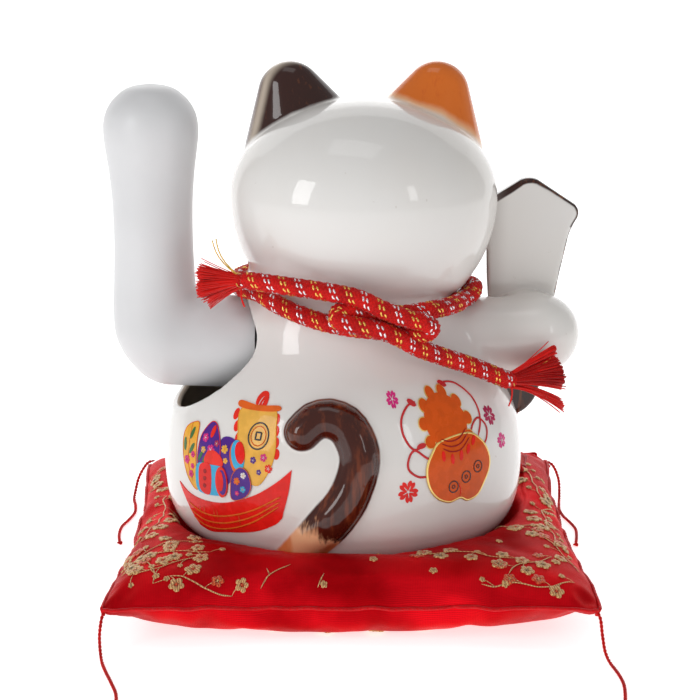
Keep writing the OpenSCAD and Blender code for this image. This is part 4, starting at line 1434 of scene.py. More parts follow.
def make_collar():
    """The braid, from its left end round the neck to its right end."""
    cord = look("cord")
    shape = Shape()
    clear_of_glaze = 4.6
    braided_cord(shape, push_out(collar_path(), clear_of_glaze), cord.braid_d)
    materials = [cord_silk("braid_silk"), silk("braid_core", tuple(cord.deep), (0.1, 0, 0)),
                 gold_tinsel(), tinsel("silver_tinsel", tuple(cord.silver))]
    piece = shape.make("collar_braid", materials, "cat", "collar_braid")
    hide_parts("collar_cord", "collar_knot", "collar_end_left", "collar_end_right")


def make_binding(name, start, tip, node):
    """Red silk and gold thread wound over the end of the braid."""
    start, tip = np.array(start) * MM, np.array(tip) * MM
    ahead = (tip - start) / np.linalg.norm(tip - start)
    line = start + ahead * np.linspace(-0.0015, 0.0035, 60)[:, None]
    shape = Shape()
    shape.tube(line, 0.0030, 16, 1)
    shape.tube(wind(line, 0.0032, 7, 0), 0.00048, 6, 1)
    shape.tube(wind(line, 0.0035, 1.2, 0.3), 0.00035, 4, 0)
    piece = shape.make(name, [gold_tinsel(), cord_silk("braid_silk")], "cat", "gold_thread")
    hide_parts(node)


TASSEL_FIBRES = 950
PLAQUE_FIBRES = 150


def make_tassel(name, start, tip, node, seed, droop, gold_rise, apart):
    """Cut silk fibres in locks that fan out of the binding, with strays and loose gold threads.

    apart gives the directions of locks that lean away from the rest.
    """
    draw = np.random.default_rng(seed)
    start, tip = np.array(start) * MM, np.array(tip) * MM
    reach = np.linalg.norm(tip - start)
    ahead = (tip - start) / reach
    side, up = cross_axes(np.array([start, tip]))
    side, up = side[0], up[0]
    shape = Shape()
    along = np.linspace(0, 1, 8)[:, None]
    locks = [(draw.uniform(0, 2 * np.pi), 0.85 * math.sqrt(draw.uniform(0, 1))) for _ in range(14)]
    locks += [(toward, 1.45) for toward in apart]
    for k in range(TASSEL_FIBRES):
        lock, spread = locks[k % len(locks)]
        angle = lock + draw.normal(0, 0.3 if spread < 1 else 0.08)
        ring = abs(spread + draw.normal(0, 0.12))
        out = math.cos(angle) * side + math.sin(angle) * up
        stray = draw.uniform(0, 1) < 0.02
        fan = reach * (0.29 * ring + (0.16 if stray else 0)) * draw.uniform(0.9, 1.1)
        long = reach * draw.uniform(0.94, 1.0) * (0.93 if stray else 1)
        curl = draw.normal(0, 0.02, 3) * reach
        path = start + ahead * long * along + out * (0.0024 * ring + fan * along**1.25)
        path = path + curl * along * (1 - along) * 2
        path = path + np.array((0, 0, -droop * MM)) * along**2 * ring
        shape.tube(path, 0.00030, 4, 0 if k % 4 else 1)
    for lean in gold_rise:
        path = start + np.array(lean) * MM * along + ahead * 0.004 * np.sin(np.pi * along)
        shape.tube(path, 0.00055, 4, 2, flat=0.5)
    hanging = start + np.array((0, 2, -14)) * MM * along + ahead * 0.002 * np.sin(np.pi * along)
    shape.tube(hanging, 0.0005, 5, 0)
    piece = shape.make(name, [*tassel_silks(), gold_tinsel()], "cat", "tassel_silk")
    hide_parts(node)


NEAR_LEFT = [[124, 124, 22], [126, 128, 19], [127, 132, 11], [126, 138, 4], [124, 146, 1],
             [121, 156, 1], [117, 168, 1], [113, 182, 1], [112, 197, 1], [114, 212, 1], [118, 226, 1]]
NEAR_RIGHT = [[-124, 124, 22], [-127, 128, 19], [-128, 132, 11], [-129, 138, 4], [-131, 146, 1],
              [-133, 157, 1], [-134, 169, 1], [-133, 182, 1], [-131, 196, 1], [-131, 210, 1], [-133, 224, 1]]
FAR_LEFT = [[124, -124, 22], [129, -124, 20], [134, -121, 12], [136, -116, 4], [136, -108, 1],
            [134, -97, 1], [133, -84, 1], [135, -71, 1], [138, -58, 1], [138, -44, 1], [136, -30, 1]]
FAR_RIGHT = [[-124, -124, 22], [-129, -122, 19], [-132, -116, 12], [-132, -109, 4], [-131, -101, 1],
             [-130, -90, 1], [-131, -78, 1], [-134, -66, 1], [-136, -54, 1], [-135, -40, 1], [-133, -27, 1]]
PLAQUE_CORD = [[-96, -33, 83], [-96, -33, 76], [-97, -34, 66], [-98, -37, 56], [-100, -42, 46],
               [-102, -50, 39.5], [-104, -60, 37.5]]
PLAQUE_CORD_TIP = [-106, -84, 36.8]


def lying_path(points, low):
    """A string's path, nowhere lower than the given height."""
    path = smooth_path(np.array(points) * MM, 0.0008)
    path[:, 2] = np.maximum(path[:, 2], low)
    return path


def make_string(node, points):
    """A two-ply string with a small knot at its free end, from a corner of the cushion."""
    cord = look("cord")
    path = lying_path(points, cord.string_d / 2)
    shape = Shape()
    twisted_cord(shape, path, cord.string_d, 2, 0.0042)
    a = np.linspace(0, 5.8, 14)
    knot = np.column_stack([np.cos(a), np.sin(a), 0.35 * np.sin(2 * a)])
    shape.tube(path[-1] + 0.0011 * knot, 0.0006, 6)
    piece = shape.make(node + "_twine", [cord_silk("string_silk")], "cushion", "red_cord")
    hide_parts(node)


def make_plaque_cord():
    """A three-ply cord with a thin thread beside it, that ends in a tassel lying on the cushion."""
    cord = look("cord")
    path = smooth_path(np.array(PLAQUE_CORD) * MM, 0.0012)
    shape = Shape()
    twisted_cord(shape, path, cord.plaque_d, 3, 0.009, ends=0.7)
    thread = path + np.array((-0.0012, -0.0018, 0)) * np.sin(np.linspace(0, np.pi, len(path)))[:, None]
    shape.tube(thread, 0.00045, 5)
    piece = shape.make("plaque_cord_twine", [cord_silk("string_silk")], "cat", "red_cord")
    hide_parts("plaque_cord")
    draw = np.random.default_rng(5)
    start, tip = path[-1], np.array(PLAQUE_CORD_TIP) * MM
    side, up = (axis[0] for axis in cross_axes(np.array([start, tip])))
    along = np.linspace(0, 1, 7)[:, None]
    fan = Shape()
    fan.tube(start + (tip - start) * np.linspace(-0.02, 0.16, 6)[:, None], 0.0021, 10, 1)
    for k in range(PLAQUE_FIBRES):
        angle = draw.uniform(0, 2 * np.pi)
        ring = math.sqrt(draw.uniform(0, 1))
        out = math.cos(angle) * side + math.sin(angle) * up
        fibre = start + (tip - start) * along * draw.uniform(0.9, 1)
        fan.tube(fibre + out * (0.0012 + 0.0018 * along) * ring, 0.00024, 4, k % 2)
    tassel = fan.make("plaque_cord_tassel", tassel_silks(), "cat", "tassel_silk")
    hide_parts("plaque_tassel")


# ---- Bell ----

def make_bell():
    """Finishes of the bell; its rolled rim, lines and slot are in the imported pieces."""
    brass = bare_metal("bell_brass", (0.86, 0.60, 0.16), 0.16, 2)
    for node in ("bell_upper", "bell_lower"):
        dress(node, brass)
    dress("bell_pellet", bare_metal("pellet_steel", (0.5, 0.5, 0.52), 0.3, 2))
    dress("bell_loop", bare_metal("loop_brass", (0.8, 0.56, 0.18), 0.25, 0))


def dress(node, material):
    """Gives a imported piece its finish."""
    target = frame["nodes"][node]
    target.data.materials.clear()
    target.data.materials.append(material)


# ---- Cushion ----

HALF = 125.0
SIDE_PULL = 4.5
SEAM_Z = 22.0


def pillow_plan(s, t):
    """Places seen from above for s and t from -1 to 1; the sides pull in between the corners."""
    x = s * (HALF - SIDE_PULL * (1 - t * t))
    y = t * (HALF - SIDE_PULL * (1 - s * s))
    return x, y


def sunk(x, y):
    """Height of the hollow that the cat presses, by place."""
    body = np.interp(np.hypot(x - 4, (y + 8) / BODY_DEPTH), (84, 93, 100, 106, 300), (12, 20, 31, 42, 90))
    feet = [np.interp(np.hypot(x - 4 - side * FOOT_X, y + 84), (27, 40, 300), (16, 42, 90))
            for side in (-1, 1)]
    return np.minimum.reduce([body] + feet)


def cushion_cloth():
    """Top and bottom panels as one sewn mesh: grid places, faces, and cloth coordinates."""
    n = look("cushion").cells
    step = np.linspace(-1, 1, n + 1)
    s, t = np.meshgrid(step, step, indexing="ij")
    x, y = pillow_plan(s, t)
    bulge = ((1 - np.abs(s)**2.4) * (1 - np.abs(t)**2.4))**0.5
    sag = 9.0 * (1 - s**2) * np.clip(t, 0, 1)**3 + 4.0 * (1 - t**2) * np.abs(s)**3
    droop = 6.0 * (np.clip(s, 0, 1) * np.clip(-t, 0, 1))**6 + 3.5 * (np.abs(s) * np.abs(t))**6
    draw = np.random.default_rng(11)
    ripple = np.zeros_like(s)
    for _ in range(9):
        a, b, phase = draw.uniform(5, 17), draw.uniform(5, 17), draw.uniform(0, 6.3)
        ripple += 0.16 * np.cos(a * s + b * t + phase)
    # Gathers that run in from the seam and die out
    gather = np.zeros_like(s)
    for along, across in ((s, t), (t, s)):
        near_seam = np.exp(-9 * (1 - np.abs(across))) * (1 - along**6)
        for a, high in ((19, 0.8), (31, 0.7), (47, 0.5)):
            gather += high * near_seam * np.cos(a * along + 2.1 * a * np.sign(across))
    seam_z = SEAM_Z - droop - sag
    crown = seam_z + (13.0 + 0.55 * sag) * bulge + 0.6 * ripple * bulge + 1.2 * gather
    top = np.minimum(crown, sunk(x, y) - 0.4)
    low = np.maximum(0.6, seam_z - 30.0 * bulge + gather)
    seam = (np.abs(s) > 0.999) | (np.abs(t) > 0.999)
    top = np.where(seam, seam_z + 0.5 * gather, top)
    return x, y, top, low, seam, n


def press_solid(name, verts, faces):
    """A plain solid that the cloth can't pass, taken away after the simulation."""
    mesh = bpy.data.meshes.new(name)
    mesh.from_pydata(verts, [], faces)
    solid = bpy.data.objects.new(name, mesh)
    bpy.context.scene.collection.objects.link(solid)
    solid.modifiers.new("solid", "COLLISION")
    solid.collision.thickness_outer = 0.0008
    solid.collision.cloth_friction = 20
    return solid


def press_floor():
    """The table under the cushion: a flat grid of four faces."""
    side = (-0.4, 0.0, 0.4)
    verts = [(x, y, 0) for y in side for x in side]
    faces = [(k, k + 1, k + 4, k + 3) for k in (0, 1, 3, 4)]
    return press_solid("press_floor", verts, faces)


def press_seat():
    """The cat's underside and hind feet, turned a little smaller than they are."""
    seat = Shape()
    line = [(0.001, 14), (70, 14), (77, 16.5), (84, 21.5), (90, 28), (95.5, 37), (98.5, 50), (60, 60),
            (0.001, 60)]
    seat.turned([(r * MM, z * MM) for r, z in line], sides=64)
    for side in (-1, 1):
        seat.ball(((AXIS[0] + side * FOOT_X) * MM, -0.086, 0.036), 0.020, squash=(1.15, 1.15, 0.9))
    verts = np.vstack(seat.verts)
    turned = len(seat.verts[0])
    verts[:turned, 1] *= BODY_DEPTH
    verts[:turned, :2] += AXIS * MM
    return press_solid("press_seat", verts.tolist(), seat.faces)


def cloth_settings(piece):
    """Satin under the push of its wadding, held at the corners."""
    tone = look("cushion")
    cloth = piece.modifiers.new("cloth", "CLOTH")
    s = cloth.settings
    s.quality = 7
    s.mass = 0.18
    s.tension_stiffness = 25
    s.compression_stiffness = 12
    s.shear_stiffness = 8
    s.bending_stiffness = 0.09
    s.use_pressure = True
    s.uniform_pressure_force = tone.pressure
    s.shrink_min = -tone.slack
    s.vertex_group_mass = "held"
    s.effector_weights.gravity = 0
    cloth.collision_settings.distance_min = 0.0008
    cloth.collision_settings.use_self_collision = False
    cloth.point_cache.frame_start = 1
    cloth.point_cache.frame_end = tone.frames


def simulate(piece):
    """Blows the cloth up a little between the table and the cat, so that it creases."""
    solids = (press_floor(), press_seat())
    cloth_settings(piece)
    scene = bpy.context.scene
    for step in range(1, look("cushion").frames + 1):
        scene.frame_set(step)
    graph = bpy.context.evaluated_depsgraph_get()
    shaped = piece.evaluated_get(graph).to_mesh()
    places = np.empty(len(shaped.vertices) * 3)
    shaped.vertices.foreach_get("co", places)
    piece.evaluated_get(graph).to_mesh_clear()
    piece.modifiers.clear()
    scene.frame_set(1)
    for solid in solids:
        bpy.data.objects.remove(solid)
    return places.reshape(-1, 3)


def blown_places(piece, start):
    """The simulated places, with each point's move capped and kept above the table."""
    most = 0.012
    move = simulate(piece) - start
    far = np.linalg.norm(move, axis=1)
    places = start + move * np.minimum(1, most / np.maximum(far, 1e-9))[:, None]
    places[:, 2] = np.maximum(places[:, 2], 0.0004)
    return places


def lay_cloth(mesh, flat):
    """Cloth coordinates for the weave, by point."""
    layer = mesh.uv_layers.new(name="cloth")
    loops = np.empty(len(mesh.loops), int)
    mesh.loops.foreach_get("vertex_index", loops)
    layer.data.foreach_set("uv", flat[loops].ravel())


def crease_seam(mesh, on_seam):
    """Keeps the seam's edges sharp where the mesh is made finer."""
    ends = np.array([edge.vertices[:] for edge in mesh.edges])
    crease = mesh.attributes.new("crease_edge", "FLOAT", "EDGE")
    crease.data.foreach_set("value", on_seam[ends].all(axis=1).astype(np.float32))


def make_cushion():
    """The sewn cushion; returns both panels' places for their woven figures."""
    x, y, top, low, seam, n = cushion_cloth()
    index_top = np.arange((n + 1) ** 2).reshape(n + 1, n + 1)
    index_low = index_top.copy()
    inner = ~seam
    index_low[inner] = np.arange(inner.sum()) + (n + 1) ** 2
    verts = np.vstack([np.column_stack([x.ravel(), y.ravel(), top.ravel()]),
                       np.column_stack([x[inner], y[inner], low[inner]])]) * MM
    faces = []
    for i in range(n):
        for j in range(n):
            quad = (i, j), (i + 1, j), (i + 1, j + 1), (i, j + 1)
            faces.append(tuple(int(index_top[q]) for q in quad))
            faces.append(tuple(int(index_low[q]) for q in reversed(quad)))
    shape = Shape()
    shape.add(verts, faces)
    piece = shape.make("cushion_cover", [satin_ground()], "cushion", "red_satin")
    held = piece.vertex_groups.new(name="held")
    corners = [int(index_top[i, j]) for i in (0, n) for j in (0, n)]
    held.add(corners, 1.0, "REPLACE")
    places = blown_places(piece, verts)
    piece.data.vertices.foreach_set("co", places.ravel())
    plan = [np.column_stack([x.ravel(), y.ravel()]), np.column_stack([x[inner], y[inner]])]
    lay_cloth(piece.data, np.vstack(plan) / (2 * HALF))
    on_seam = np.zeros(len(verts), bool)
    on_seam[index_top[seam]] = True
    crease_seam(piece.data, on_seam)
    finer = piece.modifiers.new("finer", "SUBSURF")
    finer.levels = finer.render_levels = 1
    apply_modifiers(piece)
    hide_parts("cushion_top_panel", "cushion_filling", "cushion_bottom_panel")
    panels = {"top": places[index_top], "low": places[index_low]}
    sew_edge(panels, n)
    return panels


def sew_edge(panels, n):
    """Seam ridge with its stitches along the four sides."""
    edge = [panels["top"][i, 0] for i in range(n)] + [panels["top"][n, j] for j in range(n)]
    edge += [panels["top"][i, n] for i in range(n, 0, -1)] + [panels["top"][0, j] for j in range(n, 0, -1)]
    edge = np.array(edge + edge[:1])
    path = smooth_path(edge, 0.0012)
    middle = path.mean(axis=0)
    out = path - middle
    out[:, 2] = 0
    out /= np.linalg.norm(out, axis=1)[:, None]
    shape = Shape()
    shape.tube(path + 0.0003 * out, 0.0009, 6)
    for k in range(0, len(path) - 4, 3):
        stitch = path[k:k + 3] + 0.0011 * out[k:k + 3] + np.array((0, 0, 0.00025))
        shape.tube(stitch, 0.00028, 4, 1)
    deep = tuple(0.7 * c for c in look("cushion").red)
    silks = [silk("seam_silk", tuple(look("cushion").red), deep),
             silk("stitch_silk", (0.62, 0.03, 0.03), deep)]
    shape.make("cushion_seam", silks, "cushion", "red_satin")


def off(at, reach, angle):
    """The place at a distance and direction from another."""
    return (at[0] + reach * math.cos(angle), at[1] + reach * math.sin(angle))


def ring_round(middle, radius, count):
    return [off(middle, radius, a) for a in np.linspace(0, 2 * np.pi, count, endpoint=False)]


class Weave:
    """Raised woven figures, placed by cloth coordinates in millimetres on a shaped panel."""

    def __init__(self, panel):
        self.panel = panel
        self.cells = len(panel) - 1
        self.shape = Shape()

    def place(self, flat, lift):
        """Points on the panel; flat is in the panel's own millimetres, from its middle."""
        flat = np.asarray(flat, float)
        s = np.clip((flat / HALF + 1) / 2 * self.cells, 0, self.cells - 1e-6)
        cell = s.astype(int)
        part = s - cell
        i, j = cell.T
        a, b = part.T[:, :, None]
        p = self.panel
        here = (1 - a) * (1 - b) * p[i, j] + a * (1 - b) * p[i + 1, j]
        here = here + a * b * p[i + 1, j + 1] + (1 - a) * b * p[i, j + 1]
        along = p[i + 1, j] - p[i, j] + p[i + 1, j + 1] - p[i, j + 1]
        over = p[i, j + 1] - p[i, j] + p[i + 1, j + 1] - p[i + 1, j]
        normal = np.cross(along, over)
        normal /= np.linalg.norm(normal, axis=1)[:, None]
        return here + lift * normal

    def fan(self, outline, middle, slot, lift=0.0005):
        """A slightly crowned figure, its edge turned into the cloth."""
        outline = np.asarray(outline, float)
        middle = np.asarray(middle, float)
        count = len(outline)
        edge = self.place(outline * 0.94 + middle * 0.06, lift)
        inner = self.place(outline * 0.5 + middle * 0.5, lift)
        verts = np.vstack([self.place(outline, -0.0001), edge, inner, self.place([middle], lift * 0.8)])
        faces = ring_quads(3, count)
        faces += [(2 * count + k, 2 * count + (k + 1) % count, 3 * count) for k in range(count)]
        self.shape.add(verts, faces, slot)

    def thread(self, points, width, slot, lift=0.0003):
        flat = smooth_path([(a, b, 0) for a, b in points], 1.6)[:, :2]
        path = self.place(flat, lift)
        taper = np.minimum(1, 0.4 + 0.3 * np.minimum(np.arange(len(path)), np.arange(len(path))[::-1]))
        normal = self.place(flat, 0.002) - self.place(flat, 0)
        normal /= np.linalg.norm(normal, axis=1)[:, None]
        side = np.cross(np.gradient(path, axis=0), normal)
        side /= np.linalg.norm(side, axis=1)[:, None] + 1e-12
        self.shape.tube(path, width / 2 * MM * taper, 4, slot, flat=0.5, axes=(side, normal))

    def petal_flower(self, at, size, slot, turn, middle_slot):
        """A plum blossom of five rounded petals with threads between."""
        for k in range(5):
            a = turn + k * 2 * math.pi / 5
            centre = off(at, 0.56 * size, a)
            self.fan(ring_round(centre, 0.36 * size, 10), centre, slot)
            stamen = [off(at, part * size, a) for part in (0.1, 0.36, 0.62)]
            self.thread(stamen, 0.09 * size, middle_slot, 0.0007)
        self.fan(ring_round(at, 0.15 * size, 8), at, middle_slot, 0.0008)


def free_place(at, margin=6):
    """True where a figure is on the panel and outside the cat's hollow."""
    x, y = at
    off_cat = math.hypot(x - 4, (y + 8) / BODY_DEPTH) > 97
    return off_cat and max(abs(x), abs(y)) < HALF - margin


def weave_branch(weave, draw, start, heading, long):
    """A twig with side shoots, blossoms and buds."""
    points = [start]
    turn = heading
    for _ in range(int(long / 7)):
        turn += draw.uniform(-0.45, 0.45)
        last = points[-1]
        points.append(off(last, 7, turn))
    points = [p for p in points if free_place(p, 3)]
    if len(points) < 3:
        return
    weave.thread(points, 0.8, 0)
    for k, p in enumerate(points):
        side = 1 if k % 2 else -1
        shoot = heading + side * draw.uniform(0.6, 1.2)
        tip = off(p, 7, shoot)
        if not free_place(tip):
            continue
        weave.thread([p, ((p[0] + tip[0]) / 2 + side, (p[1] + tip[1]) / 2), tip], 0.55, 0)
        kind = draw.uniform(0, 1)
        if kind < 0.5:
            weave.petal_flower(tip, draw.uniform(3.8, 5.0), 0, draw.uniform(0, 6.3), 1 if kind < 0.3 else 2)
        elif kind < 0.66:
            weave.petal_flower(tip, draw.uniform(3.2, 4.4), 1, draw.uniform(0, 6.3), 0)
        else:
            weave.petal_flower(tip, draw.uniform(1.5, 2.3), 0, draw.uniform(0, 6.3), 0)


# Where each branch starts, its heading and its length
BRANCHES = [(-112, 108, 0.2, 50), (98, 112, -1.9, 50), (112, 60, -1.5, 80), (104, -20, -1.7, 80),
            (-108, 66, -1.4, 80), (-112, -12, -1.6, 90), (-100, -112, 0.3, 90), (10, -114, 0.0, 90),
            (100, -86, 1.3, 50), (-84, 92, 0.1, 50), (76, 92, 0.3, 40), (-118, 30, 1.1, 50),
            (116, 14, 1.2, 60), (-118, 90, -1.2, 50), (-104, 84, 0.6, 40), (118, 96, -2.2, 50),
            (106, 84, 2.8, 40), (90, 108, 2.9, 35), (-70, 112, 2.8, 30)]


def make_brocade(panels):
    """Blossoming branches in gold and orange-red over both panels."""
    tone = look("cushion")
    materials = [gold_weave("gold_weave", tuple(tone.gold)), gold_weave("red_weave", tuple(tone.blossom)),
                 gold_weave("brown_weave", tuple(0.45 * c for c in tone.gold))]
    draw = np.random.default_rng(23)
    weave = Weave(panels["top"])
    for x, y, heading, long in BRANCHES:
        weave_branch(weave, draw, (x, y), heading, long)
    for twig in ([(44, 118), (39, 110), (30, 103)], [(40, 112), (42, 106)], [(16, 118), (13, 110)]):
        weave.thread(twig, 0.7, 0)
    for _ in range(40):
        at = (draw.uniform(-117, 117), draw.uniform(-117, 117))
        if free_place(at):
            weave.petal_flower(at, draw.uniform(1.8, 2.8), 0, draw.uniform(0, 6.3), 0)
    weave.shape.make("cushion_brocade", materials, "cushion", "red_satin")
    under = Weave(panels["low"][::-1])
    for k in range(26):
        a = 2 * math.pi * k / 26
        under.petal_flower(off((0, 0), 104, a), draw.uniform(4, 6.5), 0, draw.uniform(0, 6.3), 1)
    under.shape.make("cushion_brocade_under", materials, "cushion", "red_satin")


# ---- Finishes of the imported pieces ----

def dress_mechanism():
    """One finish for each material slot of the base, the battery case and the works."""
    look_of = {
        "base_plastic": satin_moulding("base_plastic", (0.80, 0.77, 0.70), 0.4),
        "seal_foam": soft_matter("seal_foam", (0.58, 0.62, 0.16), 900),
        "foot_rubber": soft_matter("foot_rubber", (0.035, 0.035, 0.035), 500),
        "zinc_steel": bare_metal("zinc_steel", (0.66, 0.66, 0.68), 0.28, 0),
        "black_plastic": satin_moulding("black_plastic", (0.035, 0.035, 0.038), 0.42),
        "cell_jacket": satin_moulding("cell_jacket", (0.06, 0.16, 0.11), 0.3),
        "spring_steel": bare_metal("spring_steel", (0.78, 0.78, 0.80), 0.16, 2),
        "red_plastic": satin_moulding("red_plastic", (0.62, 0.03, 0.02), 0.3),
        "circuit_green": satin_moulding("circuit_green", (0.015, 0.16, 0.06), 0.28),
        "copper_wire": bare_metal("copper_wire", (0.72, 0.32, 0.14), 0.3, 2),
        "wire_jacket": satin_moulding("wire_jacket", (0.45, 0.015, 0.015), 0.45),
        "bronze_bush": bare_metal("bronze_bush", (0.70, 0.50, 0.20), 0.3, 0),
        "cast_weight": bare_metal("cast_weight", (0.22, 0.22, 0.23), 0.5, 1),
        "magnet_plate": bare_metal("magnet_plate", (0.62, 0.62, 0.65), 0.12, 1),
        "arm_plastic": satin_moulding("arm_plastic", tuple(look("arm").white), 0.34),
    }
    for part in frame["record"]["subparts"]:
        if part["material_slot"] in look_of:
            dress(part["node"], look_of[part["material_slot"]])


# ---- Stage ----

def soft_box(name, place, aim, size, power):
    lamp = bpy.data.lights.new(name, "AREA")
    lamp.shape = "RECTANGLE"
    lamp.size, lamp.size_y = size
    lamp.energy = power
    holder = bpy.data.objects.new(name, lamp)
    bpy.context.scene.collection.objects.link(holder)
    holder.location = place
    holder.rotation_euler = (Vector(aim) - Vector(place)).to_track_quat("-Z", "Y").to_euler()


def table_top(tone):
    """White paper on the table, swept up behind the cat's front."""
    half = 3.0
    bend_y = -1.2
    bend_r = 0.8
    line = [(half, 0.0), (bend_y, 0.0)]
    for t in np.linspace(0.1, math.pi / 2, 14):
        line.append((bend_y - bend_r * math.sin(t), bend_r - bend_r * math.cos(t)))
    line.append((-2.0, half))
    verts = [(x, y, z) for y, z in line for x in (half, -half)]
    faces = [(2 * k, 2 * k + 2, 2 * k + 3, 2 * k + 1) for k in range(len(line) - 1)]
    mesh = bpy.data.meshes.new("table_top")
    mesh.from_pydata(verts, [], faces)
    mesh.polygons.foreach_set("use_smooth", [True] * len(faces))
    top = bpy.data.objects.new("table_top", mesh)
    bpy.context.scene.collection.objects.link(top)
    paint = Paint("table_paper", Roughness=0.8, Specular_IOR_Level=0.2)
    cloud = paint.noise(3, 3)
    paint.set("Base Color", paint.mix(cloud, tone.floor, tuple(0.98 * c for c in tone.floor)))
    paint.set("Emission Color", (1, 1, 1))
    paint.set("Emission Strength", tone.tent)
    mesh.materials.append(paint.mat)


class CAT_OT_stage(bpy.types.Operator):
    """Camera behind the cat, pale table, white surroundings and soft boxes"""
    bl_idname = "cat.stage"
    bl_label = "Stage and light"

    def execute(self, context):
        tone = look("stage")
        lens = bpy.data.cameras.new("camera")
        lens.sensor_width = 36
        lens.lens = tone.lens
        camera = bpy.data.objects.new("camera", lens)
        context.scene.collection.objects.link(camera)
        camera.location = (0, tone.back, tone.high)
        camera.rotation_euler = (math.pi / 2 - tone.pitch, 0, math.pi)
        context.scene.camera = camera
        table_top(tone)
        world = bpy.data.worlds.new("surroundings")
        context.scene.world = world
        context.scene.view_settings.view_transform = "Standard"
        world.use_nodes = True
        back = world.node_tree.nodes["Background"]
        back.inputs["Color"].default_value = (1, 1, 1, 1)
        back.inputs["Strength"].default_value = tone.sky
        middle = (0, 0, 0.14)
        soft_box("box_left", (0.85, 0.75, 0.55), middle, (0.30, 0.6), 3.3 * tone.boxes)
        soft_box("box_right", (-0.75, 0.95, 0.60), middle, (0.14, 0.40), 0.6 * tone.boxes)
        soft_box("box_top", (0.1, 0.25, 1.35), middle, (0.6, 0.4), 0.8 * tone.boxes)
        soft_box("box_front", (0.1, -1.2, 0.7), middle, (0.9, 0.7), 1.2 * tone.boxes)
        return {"FINISHED"}


# ---- Operators, panel and run ----

class CAT_OT_corner_strings(bpy.types.Operator):
    """Four two-ply strings that lie from the cushion's corners"""
    bl_idname = "cat.corner_strings"
    bl_label = "Corner strings"

    def execute(self, context):
        routes = {"corner_string_near_left": NEAR_LEFT, "corner_string_near_right": NEAR_RIGHT,
                  "corner_string_far_left": FAR_LEFT, "corner_string_far_right": FAR_RIGHT}
        for node, points in routes.items():
            make_string(node, points)
        return {"FINISHED"}


class CAT_OT_plaque_cord(bpy.types.Operator):
    """Cord and tassel under the plaque"""
    bl_idname = "cat.plaque_cord"
    bl_label = "Plaque cord"

    def execute(self, context):
        make_plaque_cord()
        return {"FINISHED"}


class CAT_OT_casting(bpy.types.Operator):
    """The hollow glazed body with its painted ears, tail and plaque"""
    bl_idname = "cat.casting"
    bl_label = "Glazed body"

    def execute(self, context):
        body = shell_piece("cast_body", casting, (-135, -115, 12), (112, 105, 292), look("glaze").voxel,
                           glaze(), "cat", "glazed_white")
        refine_outside(body.data, casting)
        paint_fields(body.data)
        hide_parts("ceramic_body")
        return {"FINISHED"}


class CAT_OT_transfers(bpy.types.Operator):
    """Painted motifs on the glaze: ship, bag, blossoms, face and plaque"""
    bl_idname = "cat.transfers"
    bl_label = "Painted motifs"

    def execute(self, context):
        ink = inks()
        ink["tan"] = enamel("ink_tan", (0.30, 0.12, 0.06))
        ink["nose"] = enamel("ink_nose", (0.72, 0.20, 0.17))
        gold = gilding("gold_line", (0.95, 0.70, 0.22))
        treasure_ship(ink)
        money_bag(ink, gold)
        loose_blossoms(ink)
        face(ink)
        plaque_front(ink, gold)
        return {"FINISHED"}


class CAT_OT_arm(bpy.types.Operator):
    """Two moulded shells of the waving arm"""
    bl_idname = "cat.arm"
    bl_label = "Waving arm"

    def execute(self, context):
        arm_half("arm_front_shell", -1)
        arm_half("arm_back_shell", 1)
        return {"FINISHED"}


class CAT_OT_collar(bpy.types.Operator):
    """Braided collar cord with its knot, bindings and tassels"""
    bl_idname = "cat.collar"
    bl_label = "Collar"

    def execute(self, context):
        make_collar()
        make_binding("left_end_binding", LEFT_WAY[-1], LEFT_TIP, "left_binding")
        make_binding("right_end_binding", RIGHT_WAY[-1], RIGHT_TIP, "right_binding")
        make_tassel("left_end_tassel", LEFT_WAY[-1], LEFT_TIP, "left_tassel", 3, 1.0,
                    [(15, -3, 22), (17, -3, 21)], (0.4, 1.2))
        make_tassel("right_end_tassel", RIGHT_WAY[-1], RIGHT_TIP, "right_tassel", 4, 3.0,
                    [(-23, -4, 12), (-22, -4, 11)], (1.5, -1.6))
        return {"FINISHED"}


class CAT_OT_bell(bpy.types.Operator):
    """Brass bell with its loop and pellet"""
    bl_idname = "cat.bell"
    bl_label = "Bell"

    def execute(self, context):
        make_bell()
        return {"FINISHED"}


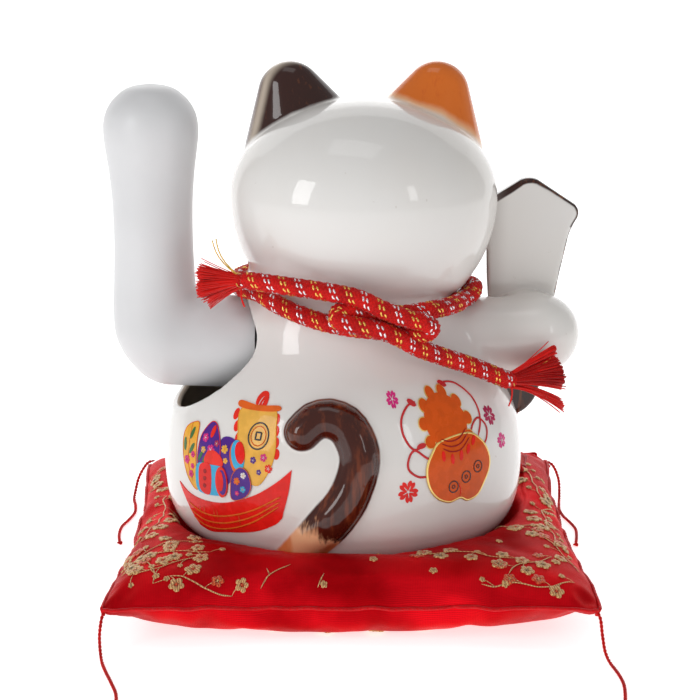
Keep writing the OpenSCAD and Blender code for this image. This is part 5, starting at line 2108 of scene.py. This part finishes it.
class CAT_OT_cushion(bpy.types.Operator):
    """Sewn satin cushion with its seam and woven figures"""
    bl_idname = "cat.cushion"
    bl_label = "Cushion"

    def execute(self, context):
        make_brocade(make_cushion())
        return {"FINISHED"}


class CAT_OT_mechanism(bpy.types.Operator):
    """Finishes of the base, the battery case and the works inside"""
    bl_idname = "cat.mechanism"
    bl_label = "Base and works"

    def execute(self, context):
        dress_mechanism()
        return {"FINISHED"}


STEPS = [CAT_OT_stage, CAT_OT_corner_strings, CAT_OT_plaque_cord, CAT_OT_casting, CAT_OT_transfers,
         CAT_OT_arm, CAT_OT_collar, CAT_OT_bell, CAT_OT_cushion, CAT_OT_mechanism]


class CAT_PT_panel(bpy.types.Panel):
    """Lists the steps and the sizes that they use"""
    bl_idname = "CAT_PT_panel"
    bl_label = "Beckoning cat"
    bl_space_type = "VIEW_3D"
    bl_region_type = "UI"
    bl_category = "Cat"

    def draw(self, context):
        for step in STEPS:
            self.layout.operator(step.bl_idname)
        for name, group in GROUPS.items():
            box = self.layout.box()
            box.label(text=name.title())
            for key in group.__annotations__:
                box.prop(look(name), key)


GROUPS = {"glaze": GlazeLook, "arm": ArmLook, "cushion": CushionLook, "cord": CordLook, "stage": StageLook}
CLASSES = [*GROUPS.values(), *STEPS, CAT_PT_panel]


def register():
    for cls in CLASSES:
        bpy.utils.register_class(cls)
    for name, group in GROUPS.items():
        setattr(bpy.types.Scene, "cat_" + name, bpy.props.PointerProperty(type=group))


def unregister():
    for name in GROUPS:
        delattr(bpy.types.Scene, "cat_" + name)
    for cls in reversed(CLASSES):
        bpy.utils.unregister_class(cls)


def main():
    register()
    bpy.ops.cat.stage()
    bpy.ops.cat.corner_strings()
    bpy.ops.cat.plaque_cord()
    bpy.ops.cat.casting()
    bpy.ops.cat.transfers()
    bpy.ops.cat.arm()
    bpy.ops.cat.collar()
    bpy.ops.cat.bell()
    bpy.ops.cat.cushion()
    bpy.ops.cat.mechanism()


if __name__ == "__main__":
    main()
